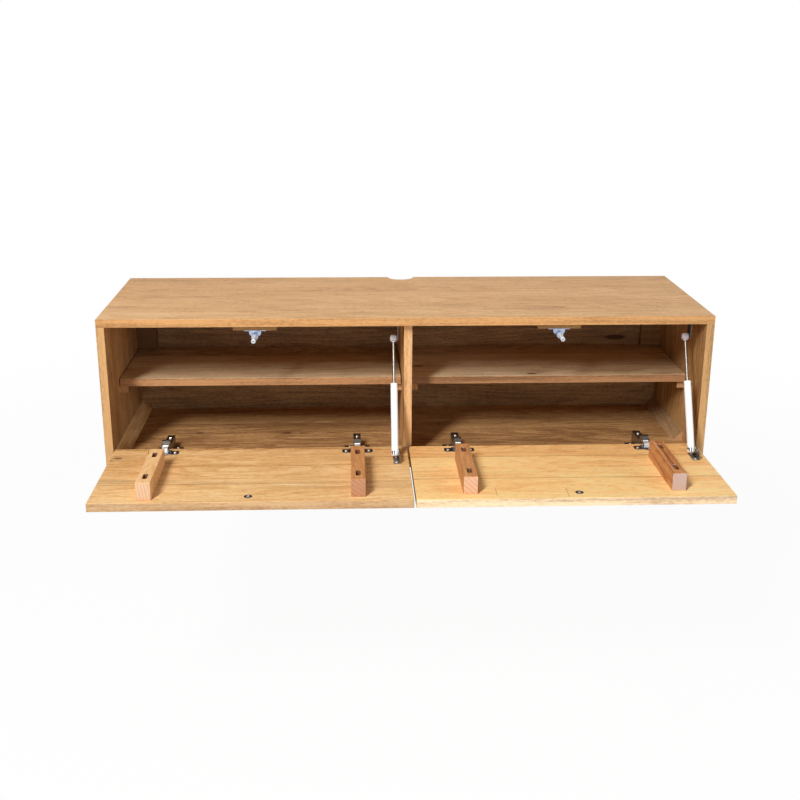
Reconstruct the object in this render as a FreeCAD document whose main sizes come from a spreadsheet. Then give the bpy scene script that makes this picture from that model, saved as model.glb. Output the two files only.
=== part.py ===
import FreeCAD, Part
import os
import re
import Sketcher

# Wall-hung media console: a solid-wood case with a centre divider and two bays, each with
# a shelf and an inset drop-down door.
# Frame: +X right, +Y towards the wall, +Z up.  The origin is the centre of the wall screws,
# on the wall plane.  Places inside the case are written in "case coordinates": x from the
# middle, y back from the front plane of the case, z up from its underside.

# Driving dimensions in millimetres.
SIZES = {
    # case
    "case_width": 1280.0,
    "case_depth": 405.0,
    "case_height": 330.0,
    "board": 17.0,
    "back_board": 12.0,
    "cable_notch_radius": 30.0,
    "divider_setback": 20.0,
    "edge_round": 1.0,
    # shelves and the small wood that holds them
    "shelf_rise": 171.0,
    "shelf_setback": 107.0,
    "shelf_play": 2.5,
    "cleat_width": 18.0,
    "cleat_height": 16.0,
    "cleat_setback": 8.0,
    "glue_strip_leg": 22.0,
    "left_glue_strip_setback": 26.0,
    "right_glue_strip_setback": 104.0,
    "corner_block_width": 46.0,
    "corner_block_depth": 18.0,
    # hanging rails behind the back panel
    "rail_thickness": 30.0,
    "rail_end_gap": 23.0,
    "case_rail_height": 40.0,
    "wall_rail_height": 60.0,
    "rail_play": 0.5,
    "wall_screw_spacing_x": 812.8,
    "wall_screw_spacing_z": 30.0,
    "wall_screw_low": 15.0,
    "wall_screw_hole_radius": 2.75,
    "wall_screw_head_radius": 6.0,
    "wall_screw_head_depth": 6.0,
    # doors
    "door_side_gap": 2.0,
    "door_edge_gap": 2.0,
    "door_centre_gap": 4.0,
    "pivot_rise": 11.0,
    # door battens
    "batten_width": 28.0,
    "batten_height": 36.0,
    "batten_length": 184.0,
    "left_outer_batten_start": 95.0,
    "left_inner_batten_start": 90.0,
    "right_inner_batten_start": 83.0,
    "right_outer_batten_start": 79.0,
    "batten_screw_inset": 34.0,
    "batten_slot_radius": 5.0,
    "batten_slot_run": 18.0,
    "batten_slot_depth": 14.0,
    # concealed hinges
    "hinge_inset": 106.0,
    "cup_radius": 17.5,
    "cup_depth": 12.0,
    "cup_wall": 1.0,
    "cup_floor": 0.8,
    "cup_centre": 23.0,
    "cup_clearance": 0.1,
    "cup_rim": 1.0,
    "flange_length": 64.0,
    "flange_width": 21.0,
    "flange_thickness": 1.2,
    "flange_shift": 3.0,
    "cup_screw_half_pitch": 24.0,
    "arm_width": 16.0,
    "arm_nose_front": 9.8,
    "arm_nose_low": 17.7,
    "arm_nose_high": 26.8,
    "arm_neck_front": 18.8,
    "arm_neck_high": 31.5,
    "arm_neck_back": 26.0,
    "arm_neck_under": 20.4,
    "arm_slope_end": 40.0,
    "arm_back_high": 15.0,
    "arm_back": 100.0,
    "arm_heel": 24.0,
    "arm_heel_rise": 5.0,
    "arm_wall": 1.8,
    "link_width": 11.2,
    "link_side_gap": 0.5,
    "link_pin_y": 12.5,
    "link_pin_z": 22.4,
    "link_pin_radius": 1.5,
    "link_pin_play": 0.05,
    "link_eye_radius": 2.3,
    "link_eye_gap": 0.7,
    "link_slot_back": 16.5,
    "link_half": 1.1,
    "link_bend_y": 0.3,
    "link_bend_z": 20.6,
    "link_tip_y": -1.3,
    "link_tip_z": 12.6,
    "plate_thickness": 3.0,
    "plate_centre": 78.0,
    "plate_wing_span": 55.0,
    "plate_wing_width": 16.0,
    "plate_length": 42.0,
    "plate_spine_width": 11.0,
    "plate_spine_height": 8.0,
    "plate_screw_half_pitch": 16.0,
    "arm_screw_head_height": 3.0,
    # gas struts
    "strut_inset": 28.0,
    "strut_head_y": 48.0,
    "strut_head_drop": 36.0,
    "strut_foot_reach": 60.0,
    "strut_foot_rise": 14.0,
    "strut_radius": 7.5,
    "strut_bore_radius": 6.5,
    "strut_start": 14.0,
    "strut_end": 144.0,
    "strut_end_wall": 5.0,
    "rod_radius": 3.0,
    "rod_low": 124.0,
    "rod_running_play": 0.05,
    "piston_thickness": 8.0,
    "cap_half_width": 7.5,
    "cap_half_depth": 6.5,
    "cap_below": 12.0,
    "cap_above": 4.0,
    "cap_corner": 2.5,
    "rod_seat": 6.0,
    "foot_radius": 7.5,
    "foot_below": 8.5,
    "foot_corner": 2.0,
    "clip_slot_width": 1.6,
    "clip_slot_height": 6.0,
    "clip_slot_depth": 3.0,
    "clip_slot_outer": 5.3,
    "clip_slot_inner": 1.5,
    "stud_radius": 4.0,
    "stud_play": 0.05,
    "stud_inner_end": 5.0,
    "head_stud_gap": 0.3,
    "bracket_metal": 1.6,
    "foot_bracket_reach": 8.2,
    "foot_bracket_inner": 4.0,
    "foot_bracket_front": 34.0,
    "foot_bracket_back": 6.5,
    "foot_bracket_over": 4.5,
    "foot_screw_inset": 4.5,
    "head_bracket_reach": 8.2,
    "head_bracket_inner": 6.0,
    "head_bracket_half": 11.0,
    "head_bracket_under": 4.5,
    "head_screw_half_pitch": 7.0,
    # touch latches
    "latch_from_centre": 319.0,
    "latch_block_width": 90.0,
    "latch_block_depth": 38.0,
    "latch_block_height": 15.0,
    "latch_block_setback": 28.0,
    "latch_axis_drop": 27.0,
    "latch_plate_width": 46.0,
    "latch_plate_thickness": 2.2,
    "latch_plate_setback": 32.0,
    "latch_screw_half_pitch": 17.5,
    "latch_screw_setback": 9.0,
    "latch_body_width": 24.5,
    "latch_body_depth": 24.0,
    "latch_body_drop": 28.0,
    "latch_body_corner": 4.5,
    "latch_barrel_radius": 6.8,
    "latch_barrel_start": 20.0,
    "latch_barrel_length": 62.0,
    "latch_barrel_end_wall": 3.0,
    "plunger_radius": 4.6,
    "plunger_play": 0.06,
    "plunger_reach": 16.0,
    "plunger_length": 46.0,
    "plunger_hole_radius": 2.0,
    "plunger_hole_depth": 6.0,
    "plunger_tip_chamfer": 1.0,
    "spring_radius": 3.4,
    "spring_wire_radius": 0.5,
    "spring_end_play": 0.1,
    "spring_pitch": 9.0,
    "strike_radius": 8.0,
    "strike_thickness": 1.5,
    "strike_head_depth": 1.0,
    # wood screws
    "screw_radius": 1.9,
    "screw_play": 0.05,
    "screw_head_radius": 3.6,
    "screw_head_height": 1.8,
    "screw_bite": 12.0,
    "screw_point_gap": 1.0,
}

# Lengths that follow from the driving dimensions.
DERIVED = {
    "inner_half": "case_width / 2 - board",
    "top_under": "case_height - board",
    "back_y": "case_depth - rail_thickness - back_board",
    "rail_front": "back_y + back_board",
    "bevel_z": "top_under - case_rail_height",
    "wall_rail_low": "bevel_z - rail_thickness - wall_rail_height",
    "hang_height": "wall_rail_low + wall_screw_low + wall_screw_spacing_z / 2",
    "bay_height": "case_height - 2 * board",
    "bay_inner": "board / 2",
    "door_length": "inner_half - door_side_gap - door_centre_gap / 2",
    "door_height": "bay_height - 2 * door_edge_gap",
    "door_middle": "door_centre_gap / 2 + door_length / 2",
    "door_tail": "pivot_rise - door_edge_gap",
    "pivot_z": "board + pivot_rise",
    "door_face": "pivot_z + board",
    "hinge_reach": "door_length / 2 - hinge_inset",
    "cup_y": "door_tail - cup_centre",
    "arm_under": "plate_thickness - pivot_rise",
    "strut_head_z": "top_under - strut_head_drop",
    "strut_foot_z": "door_face + strut_foot_rise",
    "strut_run_y": "strut_head_y + strut_foot_reach",
    "strut_run_z": "strut_head_z - strut_foot_z",
    "strut_length": "sqrt(strut_run_y * strut_run_y + strut_run_z * strut_run_z)",
    "latch_z": "top_under - latch_axis_drop",
    "latch_block_low": "top_under - latch_block_height",
    "latch_body_low": "top_under - latch_body_drop",
    "plunger_tail_y": "plunger_length - plunger_reach",
    "spring_start": "plunger_tail_y + spring_wire_radius + spring_end_play",
    "spring_end": "latch_barrel_start + latch_barrel_length - latch_barrel_end_wall"
                  " - spring_wire_radius - spring_end_play",
    "strike_y": "door_tail - (latch_z - board - door_edge_gap)",
}

SIDES = (("left", "-1"), ("right", "1"))
HINGE_PLACES = (("outer", "1"), ("inner", "-1"))
PLANES = {"XY": "XY_Plane", "XZ": "XZ_Plane", "YZ": "YZ_Plane"}
ALONG = {
    "X": FreeCAD.Rotation(FreeCAD.Vector(0, 1, 0), 90),
    "Y": FreeCAD.Rotation(FreeCAD.Vector(1, 0, 0), -90),
    "Z": FreeCAD.Rotation(),
}

doc = FreeCAD.newDocument("media_console")
nodes = []


# ---------------------------------------------------------------- the sheet and formulas

def make_sheet():
    """Write every driving dimension into its own named cell."""
    sheet = doc.addObject("Spreadsheet::Sheet", "Sizes")
    for row, (alias, value) in enumerate(SIZES.items(), start=1):
        sheet.set("A%d" % row, alias)
        sheet.set("B%d" % row, str(value))
        sheet.setAlias("B%d" % row, alias)
    doc.recompute()
    return sheet


def expression(formula):
    """Write out the derived lengths of a formula and point each size at its cell."""
    def word(match):
        name = match.group(0)
        if name in DERIVED:
            return "(" + expression(DERIVED[name]) + ")"
        if name in SIZES:
            return "Sizes." + name
        return name
    return re.sub(r"[a-z][a-z_]*", word, formula)


def value(formula):
    """The number that a formula gives."""
    result = sizes.evalExpression(expression(formula))
    return float(getattr(result, "Value", result))


def bind(item, formulas):
    """Bind properties of an item to formulas."""
    for path, formula in formulas.items():
        item.setExpression(path, expression(formula))


def place(item, x, y, z):
    """Set an item at a point given in case coordinates."""
    bind(item, {
        "Placement.Base.x": x,
        "Placement.Base.y": "(" + y + ") - case_depth",
        "Placement.Base.z": "(" + z + ") - hang_height",
    })


def keep(item, name):
    """Name an item as a sub-part of the console."""
    item.Label = name
    nodes.append(item)
    return item


# ---------------------------------------------------------------- primitives

def box(name, x, y, z, length, width, height):
    """A box with its low corner at a point in case coordinates."""
    item = doc.addObject("Part::Box", name)
    bind(item, {"Length": length, "Width": width, "Height": height})
    place(item, x, y, z)
    return item


def cylinder(name, axis, x, y, z, radius, length):
    """A cylinder that starts at a point and runs along an axis."""
    item = doc.addObject("Part::Cylinder", name)
    item.Placement = FreeCAD.Placement(FreeCAD.Vector(), ALONG[axis])
    bind(item, {"Radius": radius, "Height": length})
    place(item, x, y, z)
    return item


def cut(name, base, tools):
    """The base without its tools."""
    item = doc.addObject("Part::Cut", name)
    item.Base = base
    item.Tool = group(name + "_tools", tools) if len(tools) > 1 else tools[0]
    return item


def fuse(name, shapes):
    """One solid from several that touch or overlap."""
    item = doc.addObject("Part::MultiFuse", name)
    item.Shapes = shapes
    item.Refine = True
    return item


def group(name, shapes):
    """Separate solids kept together."""
    item = doc.addObject("Part::Compound", name)
    item.Links = shapes
    return item


# ---------------------------------------------------------------- bodies from sketches

def new_body(name, x, y, z):
    """An empty body whose origin is at a point in case coordinates."""
    body = doc.addObject("PartDesign::Body", name)
    place(body, x, y, z)
    return body


def new_sketch(body, name, plane, offset):
    """A sketch on one of the body's origin planes, moved along its normal."""
    sketch = body.newObject("Sketcher::SketchObject", name)
    for feature in body.Origin.OriginFeatures:
        if feature.Role == PLANES[plane]:
            sketch.AttachmentSupport = (feature, [""])
    sketch.MapMode = "FlatFace"
    bind(sketch, {"AttachmentOffset.Base.z": offset})
    return sketch


def fix_point(sketch, geometry, end, across, up):
    """Hold one end of a sketch element at a point given by two formulas."""
    for kind, formula in (("DistanceX", across), ("DistanceY", up)):
        index = sketch.addConstraint(
            Sketcher.Constraint(kind, -1, 1, geometry, end, value(formula)))
        sketch.setExpression("Constraints[%d]" % index, expression(formula))


def draw_polygon(sketch, corners):
    """A closed outline through corners, each a pair of formulas."""
    points = [FreeCAD.Vector(value(a), value(b), 0) for a, b in corners]
    ends = points[1:] + points[:1]
    lines = [sketch.addGeometry(Part.LineSegment(a, b)) for a, b in zip(points, ends)]
    for line, following in zip(lines, lines[1:] + lines[:1]):
        sketch.addConstraint(Sketcher.Constraint("Coincident", line, 2, following, 1))
    for line, (across, up) in zip(lines, corners):
        fix_point(sketch, line, 1, across, up)


def draw_circle(sketch, across, up, radius):
    """A circle with its centre and radius given by formulas."""
    centre = FreeCAD.Vector(value(across), value(up), 0)
    index = sketch.addGeometry(Part.Circle(centre, FreeCAD.Vector(0, 0, 1), value(radius)))
    fix_point(sketch, index, 3, across, up)
    size = sketch.addConstraint(Sketcher.Constraint("Radius", index, value(radius)))
    sketch.setExpression("Constraints[%d]" % size, expression(radius))


def rectangle(left, low, right, high):
    """The four corners of a rectangle."""
    return [(left, low), (right, low), (right, high), (left, high)]


def pad(body, name, sketch, length, midplane=False, reverse=False):
    """Material from a sketch, on one side of it or half on each."""
    feature = body.newObject("PartDesign::Pad", name)
    feature.Profile = sketch
    feature.Reversed = reverse
    feature.SideType = "Symmetric" if midplane else "One side"
    bind(feature, {"Length": length})
    body.Tip = feature
    return feature


def pocket(body, name, sketch, length, midplane=False, reverse=False):
    """A cut from a sketch; the body has to lose material."""
    doc.recompute()
    before = body.Shape.Volume
    feature = body.newObject("PartDesign::Pocket", name)
    feature.Profile = sketch
    feature.Reversed = reverse
    feature.SideType = "Symmetric" if midplane else "One side"
    bind(feature, {"Length": length})
    body.Tip = feature
    doc.recompute()
    if not body.Shape.Volume < before:
        raise RuntimeError(body.Label + ": " + name + " cuts nothing")
    return feature


def revolve(body, name, sketch):
    """A full turn of a sketch about its upright axis."""
    feature = body.newObject("PartDesign::Revolution", name)
    feature.Profile = sketch
    feature.ReferenceAxis = (sketch, ["V_Axis"])
    feature.Angle = 360
    body.Tip = feature
    return feature


def chamfer(body, name, edges, size):
    """A chamfer on chosen edges of the body's last feature."""
    last = body.Tip
    feature = body.newObject("PartDesign::Chamfer", name)
    feature.Base = (last, edges)
    bind(feature, {"Size": size})
    body.Tip = feature
    return feature


def fillet(body, name, edges, radius):
    """A rounding on chosen edges of the body's last feature."""
    last = body.Tip
    feature = body.newObject("PartDesign::Fillet", name)
    feature.Base = (last, edges)
    bind(feature, {"Radius": radius})
    body.Tip = feature
    return feature


def edges_where(body, test):
    """Names of the edges of the last feature that pass a test."""
    doc.recompute()
    shape = body.Tip.Shape
    return ["Edge%d" % (i + 1) for i, edge in enumerate(shape.Edges) if test(edge)]


def upright_corner(edge):
    """True for a straight edge along the body's own Z axis."""
    box_size = edge.BoundBox
    return isinstance(edge.Curve, Part.Line) and max(box_size.XLength, box_size.YLength) < 0.001


def every_edge(edge):
    """True for all edges."""
    return True


def upper_edge(edge):
    """True for the edges of a board's upper face and its upright corners."""
    return edge.BoundBox.ZMax > 0.001


def lower_edge(edge):
    """True for the edges of a board's lower face and its upright corners."""
    return edge.BoundBox.ZMin < 0.001


def left_corner(edge):
    """True for the upright corners at a board's left end."""
    return upright_corner(edge) and edge.BoundBox.XMax < 0.001


def right_corner(edge):
    """True for the upright corners at a board's right end."""
    return upright_corner(edge) and edge.BoundBox.XMin > 0.001


def eased_board(name, x, y, z, length, width, height, chosen):
    """A board with its low corner at a point and its chosen edges rounded a little."""
    body = new_body(name, x, y, z)
    outline = new_sketch(body, name + "_outline", "XY", "0")
    draw_polygon(outline, rectangle("0", "0", length, width))
    pad(body, name + "_sawn", outline, height)
    fillet(body, name + "_eased", edges_where(body, chosen), "edge_round")
    return body


# ---------------------------------------------------------------- places shared by pieces

def hinge_spots():
    """Name, side and x of each of the four hinges."""
    for side, sign in SIDES:
        for spot, out in HINGE_PLACES:
            yield side, spot, sign + " * (door_middle + " + out + " * hinge_reach)"


def strut_x(side):
    """The strut of each bay stands at the right end of its door."""
    if side == "left":
        return "0 - door_centre_gap / 2 - strut_inset"
    return "door_centre_gap / 2 + door_length - strut_inset"


def latch_x(sign):
    """The latch stands near the middle of its door."""
    return sign + " * latch_from_centre"


def batten_end(side, spot):
    """The y of a batten's front end; each batten stands a little differently."""
    return "door_tail - " + side + "_" + spot + "_batten_start - batten_length"


def batten_screw_rows(side, spot):
    """The two y at which a batten is screwed down."""
    front = batten_end(side, spot)
    return front + " + batten_screw_inset", front + " + batten_length - batten_screw_inset"


def bracket_screw_x(side, end):
    """Screws of a strut bracket go through the middle of its base."""
    return strut_x(side) + " + (" + end + "_bracket_reach - " + end + "_bracket_inner) / 2"


def door_screw_spots(side, sign):
    """Places on a door where screws go in: x, y and the height of the head's seat."""
    spots = []
    for hinge_side, spot, x in hinge_spots():
        if hinge_side == side:
            for end in ("-", "+"):
                spots.append((x + end + "cup_screw_half_pitch", "cup_y - flange_shift",
                              "door_face + flange_thickness"))
            for y in batten_screw_rows(side, spot):
                spots.append((x, y, "door_face + batten_height - batten_slot_depth"))
    for y in ("0 - strut_foot_reach - foot_bracket_front + foot_screw_inset",
              "0 - strut_foot_reach + foot_bracket_back - foot_screw_inset"):
        spots.append((bracket_screw_x(side, "foot"), y, "door_face + bracket_metal"))
    spots.append((latch_x(sign), "strike_y",
                  "door_face + strike_thickness - strike_head_depth"))
    return spots


def screw_length(seat):
    """A door screw runs from the seat of its head almost to the end of its pilot."""
    return "(" + seat + ") - door_face + screw_bite - screw_point_gap"


def floor_screw_spots():
    """Places on the bottom panel where the hinge plates are screwed down."""
    for side, spot, x in hinge_spots():
        for end in ("-", "+"):
            yield x + end + "plate_screw_half_pitch", "plate_centre"


def head_bracket_screw_spots(side):
    """Places under the top where a strut's upper bracket is screwed up."""
    for end in ("-", "+"):
        yield bracket_screw_x(side, "head"), "strut_head_y" + end + "head_screw_half_pitch"


def latch_screw_spots(sign):
    """Places under a latch block where the latch is screwed up."""
    for end in ("-", "+"):
        yield (latch_x(sign) + end + "latch_screw_half_pitch",
               "latch_plate_setback + latch_screw_setback")


# ---------------------------------------------------------------- case

def make_top():
    """Top panel with a half-round cable notch in its rear edge."""
    slab = eased_board("top_slab", "0 - case_width / 2", "0", "top_under",
                       "case_width", "case_depth", "board", upper_edge)
    tools = [cylinder("top_notch", "Z", "0", "case_depth", "top_under - 1",
                      "cable_notch_radius", "board + 2")]
    for side, sign in SIDES:
        for x, y in head_bracket_screw_spots(side):
            tools.append(cylinder("top_pilot", "Z", x, y, "top_under - 1",
                                  "screw_radius + screw_play", "screw_bite + 1"))
    keep(cut("top_cut", slab, tools), "top_panel")


def make_bottom():
    """Bottom panel with pilot holes for the hinge plates."""
    slab = eased_board("bottom_slab", "0 - case_width / 2", "0", "0",
                       "case_width", "case_depth", "board", lower_edge)
    tools = [cylinder("bottom_pilot", "Z", x, y, "board - screw_bite",
                      "screw_radius + screw_play", "screw_bite + 1")
             for x, y in floor_screw_spots()]
    keep(cut("bottom_cut", slab, tools), "bottom_panel")


def make_uprights():
    """Two side panels, the divider and the back panel, between bottom and top."""
    keep(eased_board("left_side", "0 - case_width / 2", "0", "board",
                     "board", "case_depth", "bay_height", left_corner), "left_side_panel")
    keep(eased_board("right_side", "inner_half", "0", "board",
                     "board", "case_depth", "bay_height", right_corner), "right_side_panel")
    keep(box("divider", "0 - bay_inner", "divider_setback", "board",
             "board", "back_y - divider_setback", "bay_height"), "centre_divider")
    keep(box("back", "0 - inner_half", "back_y", "board",
             "2 * inner_half", "back_board", "bay_height"), "back_panel")


def bay_x(side, start, length):
    """The low x of a piece that starts at a distance outwards from the centre line."""
    return start if side == "right" else "0 - (" + start + ") - (" + length + ")"


def bay_box(name, side, start, y, z, length, width, height):
    """A box in a bay, measured outwards from the case's centre line."""
    return box(name, bay_x(side, start, length), y, z, length, width, height)


def make_shelves():
    """A loose shelf in each bay, on two cleats."""
    for side, sign in SIDES:
        length = "inner_half - bay_inner - 2 * shelf_play"
        x = bay_x(side, "bay_inner + shelf_play", length)
        keep(eased_board(side + "_shelf_board", x, "shelf_setback", "shelf_rise - board",
                         length, "back_y - shelf_setback - shelf_play", "board",
                         every_edge), side + "_shelf")
        strips = []
        for start in ("bay_inner", "inner_half - cleat_width"):
            strips.append(bay_box(side + "_cleat", side, start,
                                  "shelf_setback + cleat_setback",
                                  "shelf_rise - board - cleat_height",
                                  "cleat_width",
                                  "back_y - shelf_setback - cleat_setback",
                                  "cleat_height"))
        keep(group(side + "_cleats", strips), side + "_shelf_cleats")


def make_small_wood():
    """Glue strips along the bottom corners and blocks in the upper rear corners."""
    for side, sign in SIDES:
        body = new_body(side + "_strip", sign + " * inner_half", "back_y", "board")
        sketch = new_sketch(body, side + "_strip_section", "XZ", "0")
        inward = "0 - " + sign + " * glue_strip_leg"
        draw_polygon(sketch, [("0", "0"), (inward, "0"), ("0", "glue_strip_leg")])
        pad(body, side + "_strip_length", sketch, "back_y - " + side + "_glue_strip_setback")
        keep(body, side + "_glue_strip")
        keep(bay_box(side + "_block", side, "inner_half - corner_block_width",
                     "back_y - corner_block_depth", "shelf_rise + shelf_play",
                     "corner_block_width", "corner_block_depth",
                     "top_under - shelf_rise - shelf_play"), side + "_corner_block")


def make_rails():
    """Bevelled rails with a gap for cables: the case rail hooks over the wall rail."""
    rail_length = "2 * inner_half - 2 * rail_end_gap"
    gap = box("rail_gap", "0 - cable_notch_radius", "rail_front - 1", "wall_rail_low - 1",
              "2 * cable_notch_radius", "rail_thickness + 2", "top_under - wall_rail_low + 2")
    case_rail = new_body("case_rail", "0", "0", "0")
    sketch = new_sketch(case_rail, "case_rail_section", "YZ", "0")
    draw_polygon(sketch, [
        ("rail_front", "top_under"),
        ("rail_front", "bevel_z"),
        ("case_depth", "bevel_z - rail_thickness"),
        ("case_depth", "top_under"),
    ])
    pad(case_rail, "case_rail_length", sketch, rail_length, midplane=True)
    keep(cut("case_rail_cut", case_rail, [gap]), "case_hanging_rail")

    wall_rail = new_body("wall_rail_body", "0", "0", "0")
    sketch = new_sketch(wall_rail, "wall_rail_section", "YZ", "0")
    draw_polygon(sketch, [
        ("rail_front + rail_play", "bevel_z - rail_play"),
        ("rail_front + rail_play", "wall_rail_low"),
        ("case_depth", "wall_rail_low"),
        ("case_depth", "bevel_z - rail_thickness"),
    ])
    pad(wall_rail, "wall_rail_length", sketch, rail_length, midplane=True)
    tools = [gap]
    for across in ("-", "+"):
        for up in ("-", "+"):
            x = "0 " + across + " wall_screw_spacing_x / 2"
            z = "hang_height " + up + " wall_screw_spacing_z / 2"
            tools.append(cylinder("wall_screw_hole", "Y", x, "rail_front", z,
                                  "wall_screw_hole_radius", "rail_thickness + 1"))
            tools.append(cylinder("wall_screw_head", "Y", x, "rail_front", z,
                                  "wall_screw_head_radius",
                                  "rail_play + wall_screw_head_depth"))
    keep(cut("wall_rail_cut", wall_rail, tools), "wall_rail")


# ---------------------------------------------------------------- doors

def make_doors():
    """Two doors, lying open, with bores for the hinge cups and pilots for the screws."""
    for side, sign in SIDES:
        slab = eased_board(side + "_slab", bay_x(side, "door_centre_gap / 2", "door_length"),
                           "door_tail - door_height", "pivot_z",
                           "door_length", "door_height", "board", every_edge)
        tools = []
        for hinge_side, spot, x in hinge_spots():
            if hinge_side == side:
                tools.append(cylinder(side + "_cup_bore", "Z", x, "cup_y",
                                      "door_face - cup_depth - cup_clearance",
                                      "cup_radius + cup_clearance",
                                      "cup_depth + cup_clearance + 1"))
        for x, y, seat in door_screw_spots(side, sign):
            tools.append(cylinder(side + "_door_pilot", "Z", x, y,
                                  "door_face - screw_bite",
                                  "screw_radius + screw_play", "screw_bite + 1"))
        keep(cut(side + "_door_cut", slab, tools), side + "_door")


def make_battens():
    """Four stout battens on the doors, screwed down through deep slots."""
    floor = "door_face + batten_height - batten_slot_depth"
    for side, spot, x in hinge_spots():
        name = side + "_" + spot + "_batten"
        block = eased_board(name + "_block", x + " - batten_width / 2",
                            batten_end(side, spot), "door_face", "batten_width",
                            "batten_length", "batten_height", every_edge)
        tools = []
        for y in batten_screw_rows(side, spot):
            for end in (" - ", " + "):
                tools.append(cylinder(name + "_slot_end", "Z", x,
                                      y + end + "batten_slot_run / 2", floor,
                                      "batten_slot_radius", "batten_slot_depth + 1"))
            tools.append(box(name + "_slot_run", x + " - batten_slot_radius",
                             y + " - batten_slot_run / 2", floor, "2 * batten_slot_radius",
                             "batten_slot_run", "batten_slot_depth + 1"))
            tools.append(cylinder(name + "_hole", "Z", x, y, "door_face - 1",
                                  "screw_radius + screw_play", "batten_height"))
        keep(cut(name + "_cut", block, tools), name)


def make_strikes():
    """Round strike plates that the touch latches push against."""
    for side, sign in SIDES:
        disc = cylinder(side + "_strike_disc", "Z", latch_x(sign), "strike_y", "door_face",
                        "strike_radius", "strike_thickness")
        seat = cylinder(side + "_strike_seat", "Z", latch_x(sign), "strike_y",
                        "door_face + strike_thickness - strike_head_depth",
                        "screw_head_radius + screw_play", "strike_thickness")
        hole = cylinder(side + "_strike_hole", "Z", latch_x(sign), "strike_y",
                        "door_face - 1", "screw_radius + screw_play",
                        "strike_thickness + 2")
        keep(cut(side + "_strike_cut", disc, [seat, hole]), side + "_strike_plate")


# ---------------------------------------------------------------- concealed hinges

def make_cups():
    """Steel cups let into the doors, with a winged flange on the door's inner face."""
    for side, spot, x in hinge_spots():
        name = side + "_" + spot + "_hinge_cup"
        body = new_body(name + "_body", x, "cup_y", "door_face")
        wing = new_sketch(body, name + "_wing", "XY", "0")
        draw_polygon(wing, rectangle("0 - flange_length / 2",
                                     "0 - flange_shift - flange_width / 2",
                                     "flange_length / 2",
                                     "0 - flange_shift + flange_width / 2"))
        pad(body, name + "_flange", wing, "flange_thickness")
        fillet(body, name + "_wing_ends", edges_where(body, upright_corner), "flange_width / 4")
        rim = new_sketch(body, name + "_rim_outline", "XY", "0")
        draw_circle(rim, "0", "0", "cup_radius + cup_rim")
        pad(body, name + "_rim", rim, "flange_thickness")
        shell = new_sketch(body, name + "_shell_outline", "XY", "0")
        draw_circle(shell, "0", "0", "cup_radius")
        pad(body, name + "_shell", shell, "cup_depth", reverse=True)
        inside = new_sketch(body, name + "_inside", "XY", "flange_thickness")
        draw_circle(inside, "0", "0", "cup_radius - cup_wall")
        pocket(body, name + "_hollow", inside, "flange_thickness + cup_depth - cup_floor")
        holes = new_sketch(body, name + "_screw_holes", "XY", "flange_thickness")
        for end in ("0 - ", "0 + "):
            draw_circle(holes, end + "cup_screw_half_pitch", "0 - flange_shift",
                        "screw_radius + screw_play")
        pocket(body, name + "_drilled", holes, "flange_thickness")
        keep(body, name)


def make_arms():
    """Hinge arms: a channel on the plate that rises to a slotted nose over the cup."""
    for side, spot, x in hinge_spots():
        name = side + "_" + spot + "_hinge_arm"
        body = new_body(name + "_body", x, "0", "pivot_z")
        outline = new_sketch(body, name + "_outline", "YZ", "0")
        draw_polygon(outline, [
            ("arm_nose_front", "arm_nose_low"),
            ("arm_neck_under", "arm_nose_low"),
            ("arm_neck_under", "arm_under + arm_heel_rise"),
            ("arm_heel", "arm_under"),
            ("arm_back", "arm_under"),
            ("arm_back", "arm_back_high"),
            ("arm_slope_end", "arm_back_high"),
            ("arm_neck_back", "arm_neck_high"),
            ("arm_neck_front", "arm_neck_high"),
            ("arm_neck_front", "arm_nose_high"),
            ("arm_nose_front", "arm_nose_high"),
        ])
        pad(body, name + "_solid", outline, "arm_width", midplane=True)
        channel = new_sketch(body, name + "_channel_side", "YZ", "0")
        draw_polygon(channel, [
            ("arm_heel + arm_wall", "arm_under - 1"),
            ("arm_back + 1", "arm_under - 1"),
            ("arm_back + 1", "arm_back_high - arm_wall"),
            ("arm_heel + arm_wall", "arm_back_high - arm_wall"),
        ])
        pocket(body, name + "_channel", channel, "arm_width - 2 * arm_wall", midplane=True)
        slot = new_sketch(body, name + "_slot_side", "YZ", "0")
        draw_polygon(slot, rectangle("arm_nose_front - 1", "arm_nose_low - 1",
                                     "link_slot_back",
                                     "link_pin_z + link_eye_radius + link_eye_gap"))
        pocket(body, name + "_slot", slot, "link_width + 2 * link_side_gap", midplane=True)
        pin_hole = new_sketch(body, name + "_pin_circle", "YZ", "0")
        draw_circle(pin_hole, "link_pin_y", "link_pin_z", "link_pin_radius")
        pocket(body, name + "_pin_hole", pin_hole, "arm_width + 2", midplane=True)
        screw_hole = new_sketch(body, name + "_screw_circle", "XY", "arm_back_high")
        draw_circle(screw_hole, "0", "plate_centre", "screw_radius + screw_play")
        pocket(body, name + "_screw_hole", screw_hole, "2 * arm_wall")
        keep(body, name)


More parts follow.
